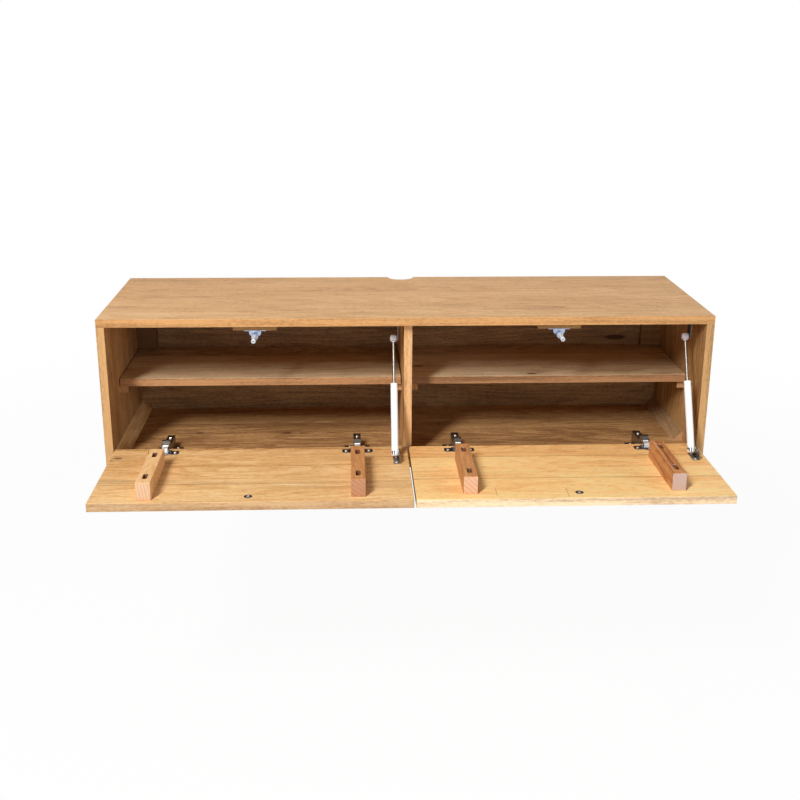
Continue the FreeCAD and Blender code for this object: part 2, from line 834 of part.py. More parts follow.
def make_links():
    """Bent links from the nose pins into the cups, two to a door."""
    for side, sign in SIDES:
        pair = []
        for hinge_side, spot, x in hinge_spots():
            if hinge_side != side:
                continue
            name = side + "_" + spot + "_link"
            body = new_body(name + "_body", x, "0", "pivot_z")
            strap = new_sketch(body, name + "_strap_side", "YZ", "0")
            draw_polygon(strap, [
                ("link_pin_y", "link_pin_z + link_half"),
                ("link_bend_y - link_half", "link_bend_z + link_half"),
                ("link_tip_y - link_half", "link_tip_z"),
                ("link_tip_y + link_half", "link_tip_z"),
                ("link_bend_y + link_half", "link_bend_z - link_half"),
                ("link_pin_y", "link_pin_z - link_half"),
            ])
            pad(body, name + "_strap", strap, "link_width", midplane=True)
            eye = new_sketch(body, name + "_eye_circle", "YZ", "0")
            draw_circle(eye, "link_pin_y", "link_pin_z", "link_eye_radius")
            pad(body, name + "_eye", eye, "link_width", midplane=True)
            bore = new_sketch(body, name + "_bore_circle", "YZ", "0")
            draw_circle(bore, "link_pin_y", "link_pin_z", "link_pin_radius + link_pin_play")
            pocket(body, name + "_bore", bore, "link_width + 2", midplane=True)
            pair.append(body)
        keep(group(side + "_link_pair", pair), side + "_hinge_links")


def make_link_pins():
    """One pin through the nose of each hinge arm."""
    pins = [cylinder("nose_pin", "X", x + " - arm_width / 2", "link_pin_y",
                     "pivot_z + link_pin_z", "link_pin_radius", "arm_width")
            for side, spot, x in hinge_spots()]
    keep(group("nose_pins", pins), "hinge_pins")


def make_hinge_plates():
    """Cross-shaped mounting plates on the bottom panel, two to a door."""
    for side, sign in SIDES:
        pair = []
        for hinge_side, spot, x in hinge_spots():
            if hinge_side != side:
                continue
            name = side + "_" + spot + "_plate"
            wings = box(name + "_wings", x + " - plate_wing_span / 2",
                        "plate_centre - plate_wing_width / 2", "board",
                        "plate_wing_span", "plate_wing_width", "plate_thickness")
            stem = box(name + "_stem", x + " - arm_width / 2",
                       "plate_centre - plate_length / 2", "board",
                       "arm_width", "plate_length", "plate_thickness")
            spine = box(name + "_spine", x + " - plate_spine_width / 2",
                        "plate_centre - plate_length / 2", "board",
                        "plate_spine_width", "plate_length",
                        "plate_thickness + plate_spine_height")
            tools = [cylinder(name + "_hole", "Z", x + end + "plate_screw_half_pitch",
                              "plate_centre", "board - 1", "screw_radius + screw_play",
                              "plate_thickness + 2") for end in ("-", "+")]
            tools.append(cylinder(name + "_thread", "Z", x, "plate_centre", "board + 1",
                                  "screw_radius + screw_play", "board"))
            pair.append(cut(name, fuse(name + "_solid", [wings, stem, spine]), tools))
        keep(group(side + "_plate_pair", pair), side + "_hinge_plates")


# ---------------------------------------------------------------- gas struts

def strut_body(name, side):
    """A body along the strut: its origin is the foot pivot and +Z points to the head."""
    body = new_body(name, strut_x(side), "0 - strut_foot_reach", "strut_foot_z")
    lean = FreeCAD.Rotation(FreeCAD.Vector(-1, 0, 0), 20)
    body.Placement = FreeCAD.Placement(FreeCAD.Vector(), lean)
    bind(body, {"Placement.Rotation.Angle": "atan2(strut_run_y; strut_run_z)"})
    return body


def make_strut_cylinders():
    """Pressure tubes, closed at the foot and with a guide for the rod at the top."""
    for side, sign in SIDES:
        name = side + "_strut_cylinder"
        body = strut_body(name + "_body", side)
        section = new_sketch(body, name + "_section", "XZ", "0")
        draw_polygon(section, [
            ("0", "strut_start"),
            ("strut_radius", "strut_start"),
            ("strut_radius", "strut_end"),
            ("rod_radius + rod_running_play", "strut_end"),
            ("rod_radius + rod_running_play", "strut_end - strut_end_wall"),
            ("strut_bore_radius", "strut_end - strut_end_wall"),
            ("strut_bore_radius", "strut_start + strut_end_wall"),
            ("0", "strut_start + strut_end_wall"),
        ])
        revolve(body, name + "_tube", section)
        keep(body, name)


def make_strut_rods():
    """Polished rods, each with the piston that slides in its tube."""
    for side, sign in SIDES:
        name = side + "_strut_rod"
        body = strut_body(name + "_body", side)
        section = new_sketch(body, name + "_section", "XZ", "0")
        draw_polygon(section, [
            ("0", "rod_low - piston_thickness"),
            ("strut_bore_radius - rod_running_play", "rod_low - piston_thickness"),
            ("strut_bore_radius - rod_running_play", "rod_low"),
            ("rod_radius", "rod_low"),
            ("rod_radius", "strut_length - cap_below + rod_seat"),
            ("0", "strut_length - cap_below + rod_seat"),
        ])
        revolve(body, name + "_turned", section)
        keep(body, name)


def make_rod_caps():
    """Moulded end caps on the rods."""
    for side, sign in SIDES:
        name = side + "_rod_cap"
        body = strut_body(name + "_body", side)
        outline = new_sketch(body, name + "_outline", "XY", "strut_length - cap_below")
        draw_polygon(outline, rectangle("0 - cap_half_width", "0 - cap_half_depth",
                                        "cap_half_width", "cap_half_depth"))
        pad(body, name + "_block", outline, "cap_below + cap_above")
        fillet(body, name + "_corners", edges_where(body, upright_corner), "cap_corner")
        seat = new_sketch(body, name + "_seat_circle", "XY", "strut_length - cap_below")
        draw_circle(seat, "0", "0", "rod_radius")
        pocket(body, name + "_seat", seat, "rod_seat", reverse=True)
        keep(body, name)


def make_foot_fittings():
    """Moulded feet of the struts, with a cross bore for the stud of the door bracket."""
    for side, sign in SIDES:
        name = side + "_strut_foot"
        body = strut_body(name + "_body", side)
        section = new_sketch(body, name + "_section", "XZ", "0")
        draw_polygon(section, [
            ("0", "0 - foot_below"),
            ("foot_radius - foot_corner", "0 - foot_below"),
            ("foot_radius", "foot_corner - foot_below"),
            ("foot_radius", "strut_start"),
            ("0", "strut_start"),
        ])
        revolve(body, name + "_turned", section)
        bore = new_sketch(body, name + "_bore_circle", "YZ", "0")
        draw_circle(bore, "0", "0", "stud_radius + stud_play")
        pocket(body, name + "_bore", bore, "3 * foot_radius", midplane=True)
        slots = new_sketch(body, name + "_clip_slots", "XZ", "foot_radius")
        for middle in ("clip_slot_outer", "clip_slot_inner"):
            left = "0 - " + middle + " - clip_slot_width / 2"
            draw_polygon(slots, rectangle(left, "0 - clip_slot_height / 2",
                                          left + " + clip_slot_width",
                                          "clip_slot_height / 2"))
        pocket(body, name + "_slotted", slots, "2 * clip_slot_depth", midplane=True)
        keep(body, name)


def angle_plate(name, side, end, y, length, base_z, upright_z, upright_height):
    """An angle bracket: a base under or over the strut's end and an upright beside it."""
    x = strut_x(side)
    inner = end + "_bracket_inner"
    reach = end + "_bracket_reach"
    base = box(name + "_base", x + " - " + inner, y, base_z,
               inner + " + " + reach + " + bracket_metal", length, "bracket_metal")
    upright = box(name + "_upright", x + " + " + reach, y, upright_z,
                  "bracket_metal", length, upright_height)
    return [base, upright]


def make_foot_brackets():
    """Brackets on the doors whose studs carry the feet of the struts."""
    for side, sign in SIDES:
        name = side + "_foot_bracket"
        front = "0 - strut_foot_reach - foot_bracket_front"
        parts = angle_plate(name, side, "foot", front,
                            "foot_bracket_front + foot_bracket_back", "door_face",
                            "door_face", "strut_foot_rise + foot_bracket_over")
        parts.append(cylinder(name + "_stud", "X", strut_x(side) + " - stud_inner_end",
                              "0 - strut_foot_reach", "strut_foot_z", "stud_radius",
                              "stud_inner_end + foot_bracket_reach + bracket_metal"))
        tools = [cylinder(name + "_hole", "Z", x, y, "door_face - 1",
                          "screw_radius + screw_play", "bracket_metal + 2")
                 for x, y, seat in door_screw_spots(side, sign)
                 if seat == "door_face + bracket_metal"]
        keep(cut(name + "_cut", fuse(name + "_solid", parts), tools), name)


def make_head_brackets():
    """Brackets under the top beside the rod caps."""
    for side, sign in SIDES:
        name = side + "_head_bracket"
        parts = angle_plate(name, side, "head", "strut_head_y - head_bracket_half",
                            "2 * head_bracket_half", "top_under - bracket_metal",
                            "strut_head_z - head_bracket_under",
                            "strut_head_drop + head_bracket_under")
        parts.append(cylinder(name + "_stud", "X",
                              strut_x(side) + " + cap_half_width + head_stud_gap",
                              "strut_head_y", "strut_head_z", "stud_radius",
                              "head_bracket_reach + bracket_metal - cap_half_width"
                              " - head_stud_gap"))
        tools = [cylinder(name + "_hole", "Z", x, y, "top_under - bracket_metal - 1",
                          "screw_radius + screw_play", "bracket_metal + 2")
                 for x, y in head_bracket_screw_spots(side)]
        keep(cut(name + "_cut", fuse(name + "_solid", parts), tools), name)


# ---------------------------------------------------------------- touch latches

def make_latch_blocks():
    """Wooden blocks that bring the latches down to the top edge of the doors."""
    for side, sign in SIDES:
        block = box(side + "_latch_wood", latch_x(sign) + " - latch_block_width / 2",
                    "latch_block_setback", "latch_block_low",
                    "latch_block_width", "latch_block_depth", "latch_block_height")
        tools = [cylinder(side + "_latch_pilot", "Z", x, y, "latch_block_low - 1",
                          "screw_radius + screw_play", "screw_bite + 1")
                 for x, y in latch_screw_spots(sign)]
        keep(cut(side + "_latch_block_cut", block, tools), side + "_latch_block")


def make_latch_housings():
    """Cast housings: an eared plate, a body under it and a barrel for the plunger."""
    for side, sign in SIDES:
        name = side + "_latch_housing"
        x = latch_x(sign)
        plate_low = "latch_block_low - latch_plate_thickness"
        plate = box(name + "_plate", x + " - latch_plate_width / 2", "latch_plate_setback",
                    plate_low, "latch_plate_width", "2 * latch_screw_setback",
                    "latch_plate_thickness")
        web = new_body(name + "_web", x, "latch_plate_setback", "latch_body_low")
        face = new_sketch(web, name + "_web_face", "XZ", "0")
        top = "latch_block_low - latch_body_low"
        draw_polygon(face, [
            ("latch_body_corner - latch_body_width / 2", "0"),
            ("latch_body_width / 2 - latch_body_corner", "0"),
            ("latch_body_width / 2", "latch_body_corner"),
            ("latch_body_width / 2", top),
            ("0 - latch_body_width / 2", top),
            ("0 - latch_body_width / 2", "latch_body_corner"),
        ])
        pad(web, name + "_web_depth", face, "latch_body_depth", reverse=True)
        barrel = cylinder(name + "_barrel", "Y", x, "latch_barrel_start", "latch_z",
                          "latch_barrel_radius", "latch_barrel_length")
        tools = [cylinder(name + "_bore", "Y", x, "latch_barrel_start - 1", "latch_z",
                          "plunger_radius + plunger_play",
                          "latch_barrel_length - latch_barrel_end_wall + 1")]
        for hole_x, hole_y in latch_screw_spots(sign):
            tools.append(cylinder(name + "_hole", "Z", hole_x, hole_y, plate_low + " - 1",
                                  "screw_radius + screw_play",
                                  "latch_plate_thickness + 2"))
        solid = fuse(name + "_solid", [plate, web, barrel])
        keep(cut(name + "_cut", solid, tools), name)


def make_plungers():
    """Sprung plungers with a hollow tip."""
    for side, sign in SIDES:
        name = side + "_latch_plunger"
        body = new_body(name + "_body", latch_x(sign), "0 - plunger_reach", "latch_z")
        section = new_sketch(body, name + "_circle", "XZ", "0")
        draw_circle(section, "0", "0", "plunger_radius")
        pad(body, name + "_stem", section, "plunger_length", reverse=True)
        tip = edges_where(body, lambda edge: edge.BoundBox.YMax < 0.001)
        chamfer(body, name + "_tip", tip, "plunger_tip_chamfer")
        hollow = new_sketch(body, name + "_hollow_circle", "XZ", "0")
        draw_circle(hollow, "0", "0", "plunger_hole_radius")
        pocket(body, name + "_hollow", hollow, "plunger_hole_depth")
        keep(body, name)


def make_springs():
    """Coil springs behind the plungers."""
    for side, sign in SIDES:
        name = side + "_latch_spring"
        helix = doc.addObject("Part::Helix", name + "_line")
        bind(helix, {
            "Radius": "spring_radius",
            "Pitch": "spring_pitch",
            "Height": "spring_end - spring_start",
        })
        wire = doc.addObject("Part::Circle", name + "_wire")
        wire.Placement = FreeCAD.Placement(FreeCAD.Vector(), FreeCAD.Rotation(
            FreeCAD.Vector(1, 0, 0), 90))
        bind(wire, {"Radius": "spring_wire_radius", "Placement.Base.x": "spring_radius"})
        sweep = doc.addObject("Part::Sweep", name + "_coil")
        sweep.Sections = [wire]
        sweep.Spine = (helix, [])
        sweep.Solid = True
        sweep.Frenet = True
        sweep.Placement = FreeCAD.Placement(FreeCAD.Vector(), ALONG["Y"])
        place(sweep, latch_x(sign), "spring_start", "latch_z")
        keep(sweep, name)


# ---------------------------------------------------------------- screws

def screw(name, x, y, seat, length, head_height="screw_head_height"):
    """A screw driven downwards: its head lies on the seat."""
    head = cylinder(name + "_head", "Z", x, y, seat, "screw_head_radius", head_height)
    shank = cylinder(name + "_shank", "Z", x, y, "(" + seat + ") - (" + length + ")",
                     "screw_radius", length)
    return fuse(name, [head, shank])


def screw_up(name, x, y, seat, length):
    """A screw driven upwards: its head hangs under the seat."""
    head = cylinder(name + "_head", "Z", x, y, "(" + seat + ") - screw_head_height",
                    "screw_head_radius", "screw_head_height")
    shank = cylinder(name + "_shank", "Z", x, y, seat, "screw_radius", length)
    return fuse(name, [head, shank])


def make_case_screws():
    """Screws of the hinge plates, hinge arms, upper brackets and latches."""
    screws = []
    for x, y in floor_screw_spots():
        screws.append(screw("plate_screw", x, y, "board + plate_thickness",
                            "plate_thickness + screw_bite - screw_point_gap"))
    for side, spot, x in hinge_spots():
        screws.append(screw("arm_screw", x, "plate_centre", "pivot_z + arm_back_high",
                            "arm_back_high - arm_under + plate_thickness / 2",
                            "arm_screw_head_height"))
    for side, sign in SIDES:
        for x, y in head_bracket_screw_spots(side):
            screws.append(screw_up("head_bracket_screw", x, y, "top_under - bracket_metal",
                                   "bracket_metal + screw_bite - screw_point_gap"))
        for x, y in latch_screw_spots(sign):
            screws.append(screw_up("latch_screw", x, y,
                                   "latch_block_low - latch_plate_thickness",
                                   "latch_plate_thickness + screw_bite - screw_point_gap"))
    keep(group("screws_of_case", screws), "case_screws")


def make_door_screws():
    """Screws of the cups, battens, lower brackets and strike plates."""
    for side, sign in SIDES:
        screws = []
        for x, y, seat in door_screw_spots(side, sign):
            head = "strike_head_depth" if "strike" in seat else "screw_head_height"
            screws.append(screw(side + "_door_screw", x, y, seat, screw_length(seat), head))
        keep(group("screws_of_" + side + "_door", screws), side + "_door_screws")


# ---------------------------------------------------------------- build and export

def build():
    """Make every sub-part in the order of assembly."""
    for make in (make_top, make_bottom, make_uprights, make_shelves, make_small_wood,
                 make_rails, make_doors, make_battens, make_strikes, make_cups, make_arms,
                 make_links, make_link_pins, make_hinge_plates, make_strut_cylinders,
                 make_strut_rods, make_rod_caps, make_foot_fittings, make_foot_brackets,
                 make_head_brackets, make_latch_blocks, make_latch_housings,
                 make_plungers, make_springs, make_case_screws, make_door_screws):
        make()
    doc.recompute()


def check():
    """Stop if any object failed or any sub-part has no sound shape."""
    for item in doc.Objects:
        if "Invalid" in item.State or "Error" in item.State:
            raise RuntimeError(item.Name + " failed: " + ", ".join(item.State))
    for item in nodes:
        if item.Shape.isNull() or not item.Shape.isValid():
            raise RuntimeError(item.Label + " has no valid shape")


def export():
    """Write each sub-part to its own STEP file."""
    os.makedirs("parts", exist_ok=True)
    for item in nodes:
        item.Shape.exportStep(os.path.join("parts", item.Label + ".step"))
    print(len(nodes), "sub-parts written")


sizes = make_sheet()
build()
check()
export()
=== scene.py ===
"""Wall-hung wooden media console with two drop-down doors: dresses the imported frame.

Each sub-assembly is a class: its sizes are dataclass fields, and its methods build the
meshes that replace plain solids and give every other node its finish.  Lengths are metres
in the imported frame: +X along the case, +Y towards the wall, +Z up.  "Case coordinates" in
millimetres have y = 0 on the front plane of the case and z = 0 under its bottom panel.
"""
from __future__ import annotations

import logging
import math
from abc import ABC, abstractmethod
from dataclasses import dataclass, field, replace
from enum import Enum
from typing import Any, Iterable, Sequence

import bmesh
import bpy
import numpy as np
from mathutils import Matrix, Vector

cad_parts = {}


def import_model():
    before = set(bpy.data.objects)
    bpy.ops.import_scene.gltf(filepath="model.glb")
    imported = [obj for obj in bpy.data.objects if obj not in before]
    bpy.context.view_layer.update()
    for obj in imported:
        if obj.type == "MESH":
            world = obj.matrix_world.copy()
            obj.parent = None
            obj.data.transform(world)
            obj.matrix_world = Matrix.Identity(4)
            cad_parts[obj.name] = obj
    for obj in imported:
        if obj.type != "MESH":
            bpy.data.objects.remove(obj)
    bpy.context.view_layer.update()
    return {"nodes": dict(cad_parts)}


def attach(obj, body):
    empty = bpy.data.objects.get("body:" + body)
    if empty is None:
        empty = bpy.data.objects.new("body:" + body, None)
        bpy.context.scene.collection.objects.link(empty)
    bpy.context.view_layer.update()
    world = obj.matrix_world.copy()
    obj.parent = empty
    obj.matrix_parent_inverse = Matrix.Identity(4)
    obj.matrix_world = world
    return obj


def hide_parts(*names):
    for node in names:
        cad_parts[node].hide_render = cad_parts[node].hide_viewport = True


LOG = logging.getLogger("media_console")

# Lengths of the case, and places in case coordinates, in millimetres.
CASE_DEPTH_MM = 405.0
HANG_HEIGHT_MM = 213.0
SIDES = (("left", -1.0), ("right", 1.0))
LATCH_X = 319.0
STRIKE_Y = -258.0
STRUT_X = {"left": -30.0, "right": 593.0}
# Each batten's place along the case, and the middle between its two screw slots, which
# stand SLOT_SPREAD before it and behind it.
BATTENS = {
    "left_outer_batten": (-515.0, -178.0),
    "left_inner_batten": (-108.0, -173.0),
    "right_inner_batten": (108.0, -166.0),
    "right_outer_batten": (515.0, -162.0),
}
SLOT_SPREAD = 58.0


def case_point(x: float, y: float, z: float) -> np.ndarray:
    """Turn a place in case coordinates (mm) into a place in the frame (m).

    Args:
        x: Distance from the middle of the case.
        y: Distance behind the front plane.
        z: Height over the underside.

    Returns:
        The place in metres.
    """
    return np.array([x, y - CASE_DEPTH_MM, z - HANG_HEIGHT_MM]) / 1000.0


def linear(red: int, green: int, blue: int) -> tuple[float, float, float, float]:
    """Turn a display colour of 0-255 into the linear colour that a shader takes.

    Args:
        red: Red as displayed.
        green: Green as displayed.
        blue: Blue as displayed.

    Returns:
        Linear red, green, blue and an alpha of 1.
    """
    shown = np.array([red, green, blue]) / 255.0
    low = shown / 12.92
    high = ((shown + 0.055) / 1.055) ** 2.4
    return tuple(float(v) for v in np.where(shown <= 0.04045, low, high)) + (1.0,)


def shaded(colour: Sequence[float], share: float) -> tuple[float, ...]:
    """Return a darker tone of a linear colour.

    Args:
        colour: Linear red, green, blue and alpha.
        share: Share of the light that stays.

    Returns:
        The darker colour, whose blue falls a little faster.
    """
    return (colour[0] * share, colour[1] * share * 0.96, colour[2] * share * 0.90, colour[3])


def tones(*colours: tuple[int, int, int]) -> dict[str, tuple[float, ...]]:
    """Name display colours as the tones of a timber, from the lightest on.

    Args:
        colours: Red, green and blue of the pale, honey, amber and brown wood.

    Returns:
        Fields of Timber; a tone that is left out keeps its default.
    """
    names = ("pale", "honey", "amber", "brown")
    return {name: linear(*colour) for name, colour in zip(names, colours)}


# ----------------------------------------------------------------------- shader sums


class Wire:
    """One value in a node tree, which sums and products of Python extend with nodes."""

    def __init__(self, web: "Web", socket: bpy.types.NodeSocket) -> None:
        """Hold a socket.

        Args:
            web: The node tree's builder.
            socket: The output socket that carries the value.
        """
        self.web = web
        self.socket = socket

    def _apply(self, operation: str, *others: Any) -> "Wire":
        """Add one Math node that takes this value first."""
        return self.web.maths(operation, self, *others)

    def __add__(self, other: Any) -> "Wire":
        """Sum."""
        return self._apply("ADD", other)

    __radd__ = __add__

    def __sub__(self, other: Any) -> "Wire":
        """Difference."""
        return self._apply("SUBTRACT", other)

    def __rsub__(self, other: Any) -> "Wire":
        """Difference from a number on the left."""
        return self.web.maths("SUBTRACT", other, self)

    def __mul__(self, other: Any) -> "Wire":
        """Product."""
        return self._apply("MULTIPLY", other)

    __rmul__ = __mul__

    def __truediv__(self, other: Any) -> "Wire":
        """Quotient."""
        return self._apply("DIVIDE", other)

    def __rtruediv__(self, other: Any) -> "Wire":
        """Quotient of a number on the left."""
        return self.web.maths("DIVIDE", other, self)

    def __pow__(self, other: Any) -> "Wire":
        """Power."""
        return self._apply("POWER", other)

    def __rpow__(self, other: Any) -> "Wire":
        """Power of a number on the left."""
        return self.web.maths("POWER", other, self)

    def __abs__(self) -> "Wire":
        """Size without sign."""
        return self._apply("ABSOLUTE")

    def floor(self) -> "Wire":
        """Whole part."""
        return self._apply("FLOOR")

    def fraction(self) -> "Wire":
        """Part after the point."""
        return self._apply("FRACT")

    def root(self) -> "Wire":
        """Square root."""
        return self._apply("SQRT")

    def exp(self) -> "Wire":
        """Power of e."""
        return self._apply("EXPONENT")

    def swing(self, width: float) -> "Wire":
        """Turn 0 to 1 into a swing of that width about 0."""
        return (self - 0.5) * width

    def step(self, start: float, end: float) -> "Wire":
        """Rise smoothly from 0 at start to 1 at end; falls if end lies below start.

        Args:
            start: Value where the rise begins.
            end: Value where the rise is over.

        Returns:
            A value of 0 to 1.
        """
        return self.web.node(
            "ShaderNodeMapRange",
            {"interpolation_type": "SMOOTHSTEP"},
            {"Value": self, "From Min": start, "From Max": end},
        )["Result"]

    def crest(self, start: float, top: float, fall: float) -> "Wire":
        """Rise smoothly from 0 at start to 1 at top; drop to 0 between fall and 1."""
        return self.step(start, top) * self.step(1.0, fall)


class Outputs:
    """Outputs of a new node, found by name."""

    def __init__(self, web: "Web", made: bpy.types.Node) -> None:
        """Hold a node."""
        self.web = web
        self.made = made

    def __getitem__(self, name: str) -> Wire:
        """Return the enabled output of that name."""
        for socket in self.made.outputs:
            if socket.name == name and socket.enabled:
                return Wire(self.web, socket)
        raise KeyError(name)


class Web:
    """Builds the node tree of one material or world."""

    def __init__(self, tree: bpy.types.NodeTree) -> None:
        """Empty a node tree and keep it.

        Args:
            tree: The tree to fill.
        """
        self.tree = tree
        tree.nodes.clear()

    @classmethod
    def of_material(cls, name: str) -> tuple[bpy.types.Material, "Web"]:
        """Make a material and the builder of its node tree."""
        material = bpy.data.materials.new(name)
        material.use_nodes = True
        return material, cls(material.node_tree)

    def node(
        self,
        kind: str,
        settings: dict[str, Any] | None = None,
        sockets: dict[str | int, Any] | None = None,
    ) -> Outputs:
        """Add any node.

        Args:
            kind: The node's type name.
            settings: Its properties, set first; "stops" fills a colour ramp.
            sockets: Values or links of its inputs, by name or number.

        Returns:
            The node's outputs.
        """
        made = self.tree.nodes.new(kind)
        for key, setting in (settings or {}).items():
            if key == "stops":
                self._fill_ramp(made.color_ramp, setting)
            else:
                setattr(made, key, setting)
        for key, given in (sockets or {}).items():
            self._feed(self._input(made, key), given)
        return Outputs(self, made)

    @staticmethod
    def _fill_ramp(ramp: bpy.types.ColorRamp, stops: Sequence[tuple[float, Any]]) -> None:
        """Put stops of place and colour into a ramp."""
        while len(ramp.elements) < len(stops):
            ramp.elements.new(0.5)
        for element, (place, colour) in zip(ramp.elements, stops):
            element.position = place
            element.color = colour

    @staticmethod
    def _input(made: bpy.types.Node, key: str | int) -> bpy.types.NodeSocket:
        """Find an enabled input by name, or an input by number."""
        if isinstance(key, int):
            return made.inputs[key]
        for socket in made.inputs:
            if socket.name == key and socket.enabled:
                return socket
        raise KeyError(key)

    def _feed(self, socket: bpy.types.NodeSocket, given: Any) -> None:
        """Link a wire to an input, or write a value on it."""
        if isinstance(given, Wire):
            self.tree.links.new(given.socket, socket)
        else:
            socket.default_value = given

    def maths(self, operation: str, *values: Any) -> Wire:
        """Add a Math node over wires and numbers."""
        made = self.node("ShaderNodeMath", {"operation": operation}, dict(enumerate(values)))
        return made["Value"]

    def vector(self, x: Any, y: Any, z: Any) -> Wire:
        """Join three values into a vector."""
        return self.node("ShaderNodeCombineXYZ", None, {"X": x, "Y": y, "Z": z})["Vector"]

    def parts(self, vector: Wire) -> list[Wire]:
        """Split a vector into its three values."""
        split = self.node("ShaderNodeSeparateXYZ", None, {"Vector": vector})
        return [split[letter] for letter in "XYZ"]

    def seen(self) -> Wire:
        """Return 1 on rays of the camera, of gloss and of glass, and 0 on the others."""
        path = self.node("ShaderNodeLightPath")
        mirrored = self.maths("MAXIMUM", path["Is Glossy Ray"], path["Is Transmission Ray"])
        return self.maths("MAXIMUM", path["Is Camera Ray"], mirrored)

    def blend(self, share: Any, first: Any, second: Any) -> Wire:
        """Mix two colours.

        Args:
            share: How much of the second colour.
            first: A colour or wire.
            second: A colour or wire.

        Returns:
            The mixed colour.
        """
        return self.node(
            "ShaderNodeMix", {"data_type": "RGBA"}, {"Factor": share, "A": first, "B": second}
        )["Result"]

    def noise(self, place: Wire, scale: float = 1.0, detail: float = 2.0,
              roughness: float = 0.5) -> Wire:
        """Add a soft noise of about 0 to 1 at a place."""
        return self.node(
            "ShaderNodeTexNoise",
            None,
            {"Vector": place, "Scale": scale, "Detail": detail, "Roughness": roughness},
        )["Fac"]

    def within(self, place: Wire, middle: float, half: float, soft: float = 0.0005) -> Wire:
        """Return 1 where a place lies no further from the middle than half, else 0."""
        return abs(place - middle).step(half + soft, half)

    def bump(self, height: Wire, strength: float, distance: float) -> Wire:
        """Turn a height into a normal."""
        return self.node(
            "ShaderNodeBump",
            None,
            {"Strength": strength, "Distance": distance, "Height": height},
        )["Normal"]

    def shade(self, **sockets: Any) -> None:
        """End the tree in the usual surface shader; names have spaces for underscores."""
        named = {key.replace("_", " "): given for key, given in sockets.items()}
        surface = self.node("ShaderNodeBsdfPrincipled", None, named)["BSDF"]
        self.node("ShaderNodeOutputMaterial", None, {"Surface": surface})


# --------------------------------------------------------------------------- finishes


class Grain(Enum):
    """Axes along the grain, across a board's face and through it."""

    LEVEL = (0, 1, 2)
    BACK = (0, 2, 1)
    UPRIGHT = (2, 1, 0)
    BATTEN = (1, 0, 2)


@dataclass(frozen=True)
class Knot:
    """A knot in a board, or a swirl round one where its heart is pale.

    Attributes:
        along: Place along the grain.
        across: Place across the board's face.
        radius: Half width of its heart across the grain.
        heart: How dark its heart is.
        stretch: How much longer than wide it is.
        lift: How strongly the growth lines close round it.
    """

    along: float
    across: float
    radius: float
    heart: float = 1.0
    stretch: float = 2.4
    lift: float = 0.03


@dataclass(frozen=True)
class Butt:
    """A joint between two lengths of wood in one stave.

    Attributes:
        along: Place along the grain.
        low: Where it starts across the face.
        high: Where it ends across the face.
    """

    along: float
    low: float
    high: float


@dataclass(frozen=True)
class Layer:
    """A noise drawn out along the grain.

    Attributes:
        along: Features to the metre along the grain.
        across: Features to the metre across the board's face and through it.
        detail: Octaves of the noise.
        roughness: Strength of the finer octaves.
    """

    along: float
    across: float
    detail: float = 2.0
    roughness: float = 0.5

    def read(self, web: Web, place: Sequence[Wire], beside: Any = 0.0,
             below: float = 0.0) -> Wire:
        """Add the noise at a place.

        Args:
            web: Builder of the node tree.
            place: Places along the grain, across the face and through the board.
            beside: Shift across the face, which sets the staves apart.
            below: Shift through the board.

        Returns:
            A value of about 0 to 1.
        """
        along, across, depth = place
        drawn = web.vector(along * self.along, across * self.across + beside,
                           depth * self.across + below)
        return web.noise(drawn, detail=self.detail, roughness=self.roughness)


GROWTH = Layer(1.1, 8.0, 2.0, 0.42)
CLOUD = Layer(1.9, 11.0, 3.0)
VEIN = Layer(1.3, 27.0, 4.0, 0.6)
STREAK = Layer(2.4, 60.0, 5.0, 0.62)
THREAD = Layer(7.0, 170.0, 3.0, 0.6)
FIBRE = Layer(26.0, 420.0, 3.0, 0.65)
FLECK = Layer(110.0, 360.0, 2.0, 0.6)
PORE = Layer(50.0, 600.0)

# Display colours of what lies in or on the wood, and of the painted shade in screw slots.
WARM_WOOD = linear(222, 158, 100)
VEIN_BROWN = linear(142, 98, 62)
PORE_BROWN = linear(118, 74, 42)
GLUE_BROWN = linear(84, 50, 28)
HEART_BROWN = linear(72, 40, 22)
SLOT_SHADE = linear(112, 68, 44)

# Sizes on the boards, in metres.
GLUE_LINE = 0.0015
BUTT_HALF = 0.0002
BUTT_SOFT = 0.0012
BUTT_END = 0.001
SLOT_HALF_LENGTH = 0.0144
SLOT_HALF_WIDTH = 0.0054
SLOT_DEPTHS = (0.0006, 0.0022)


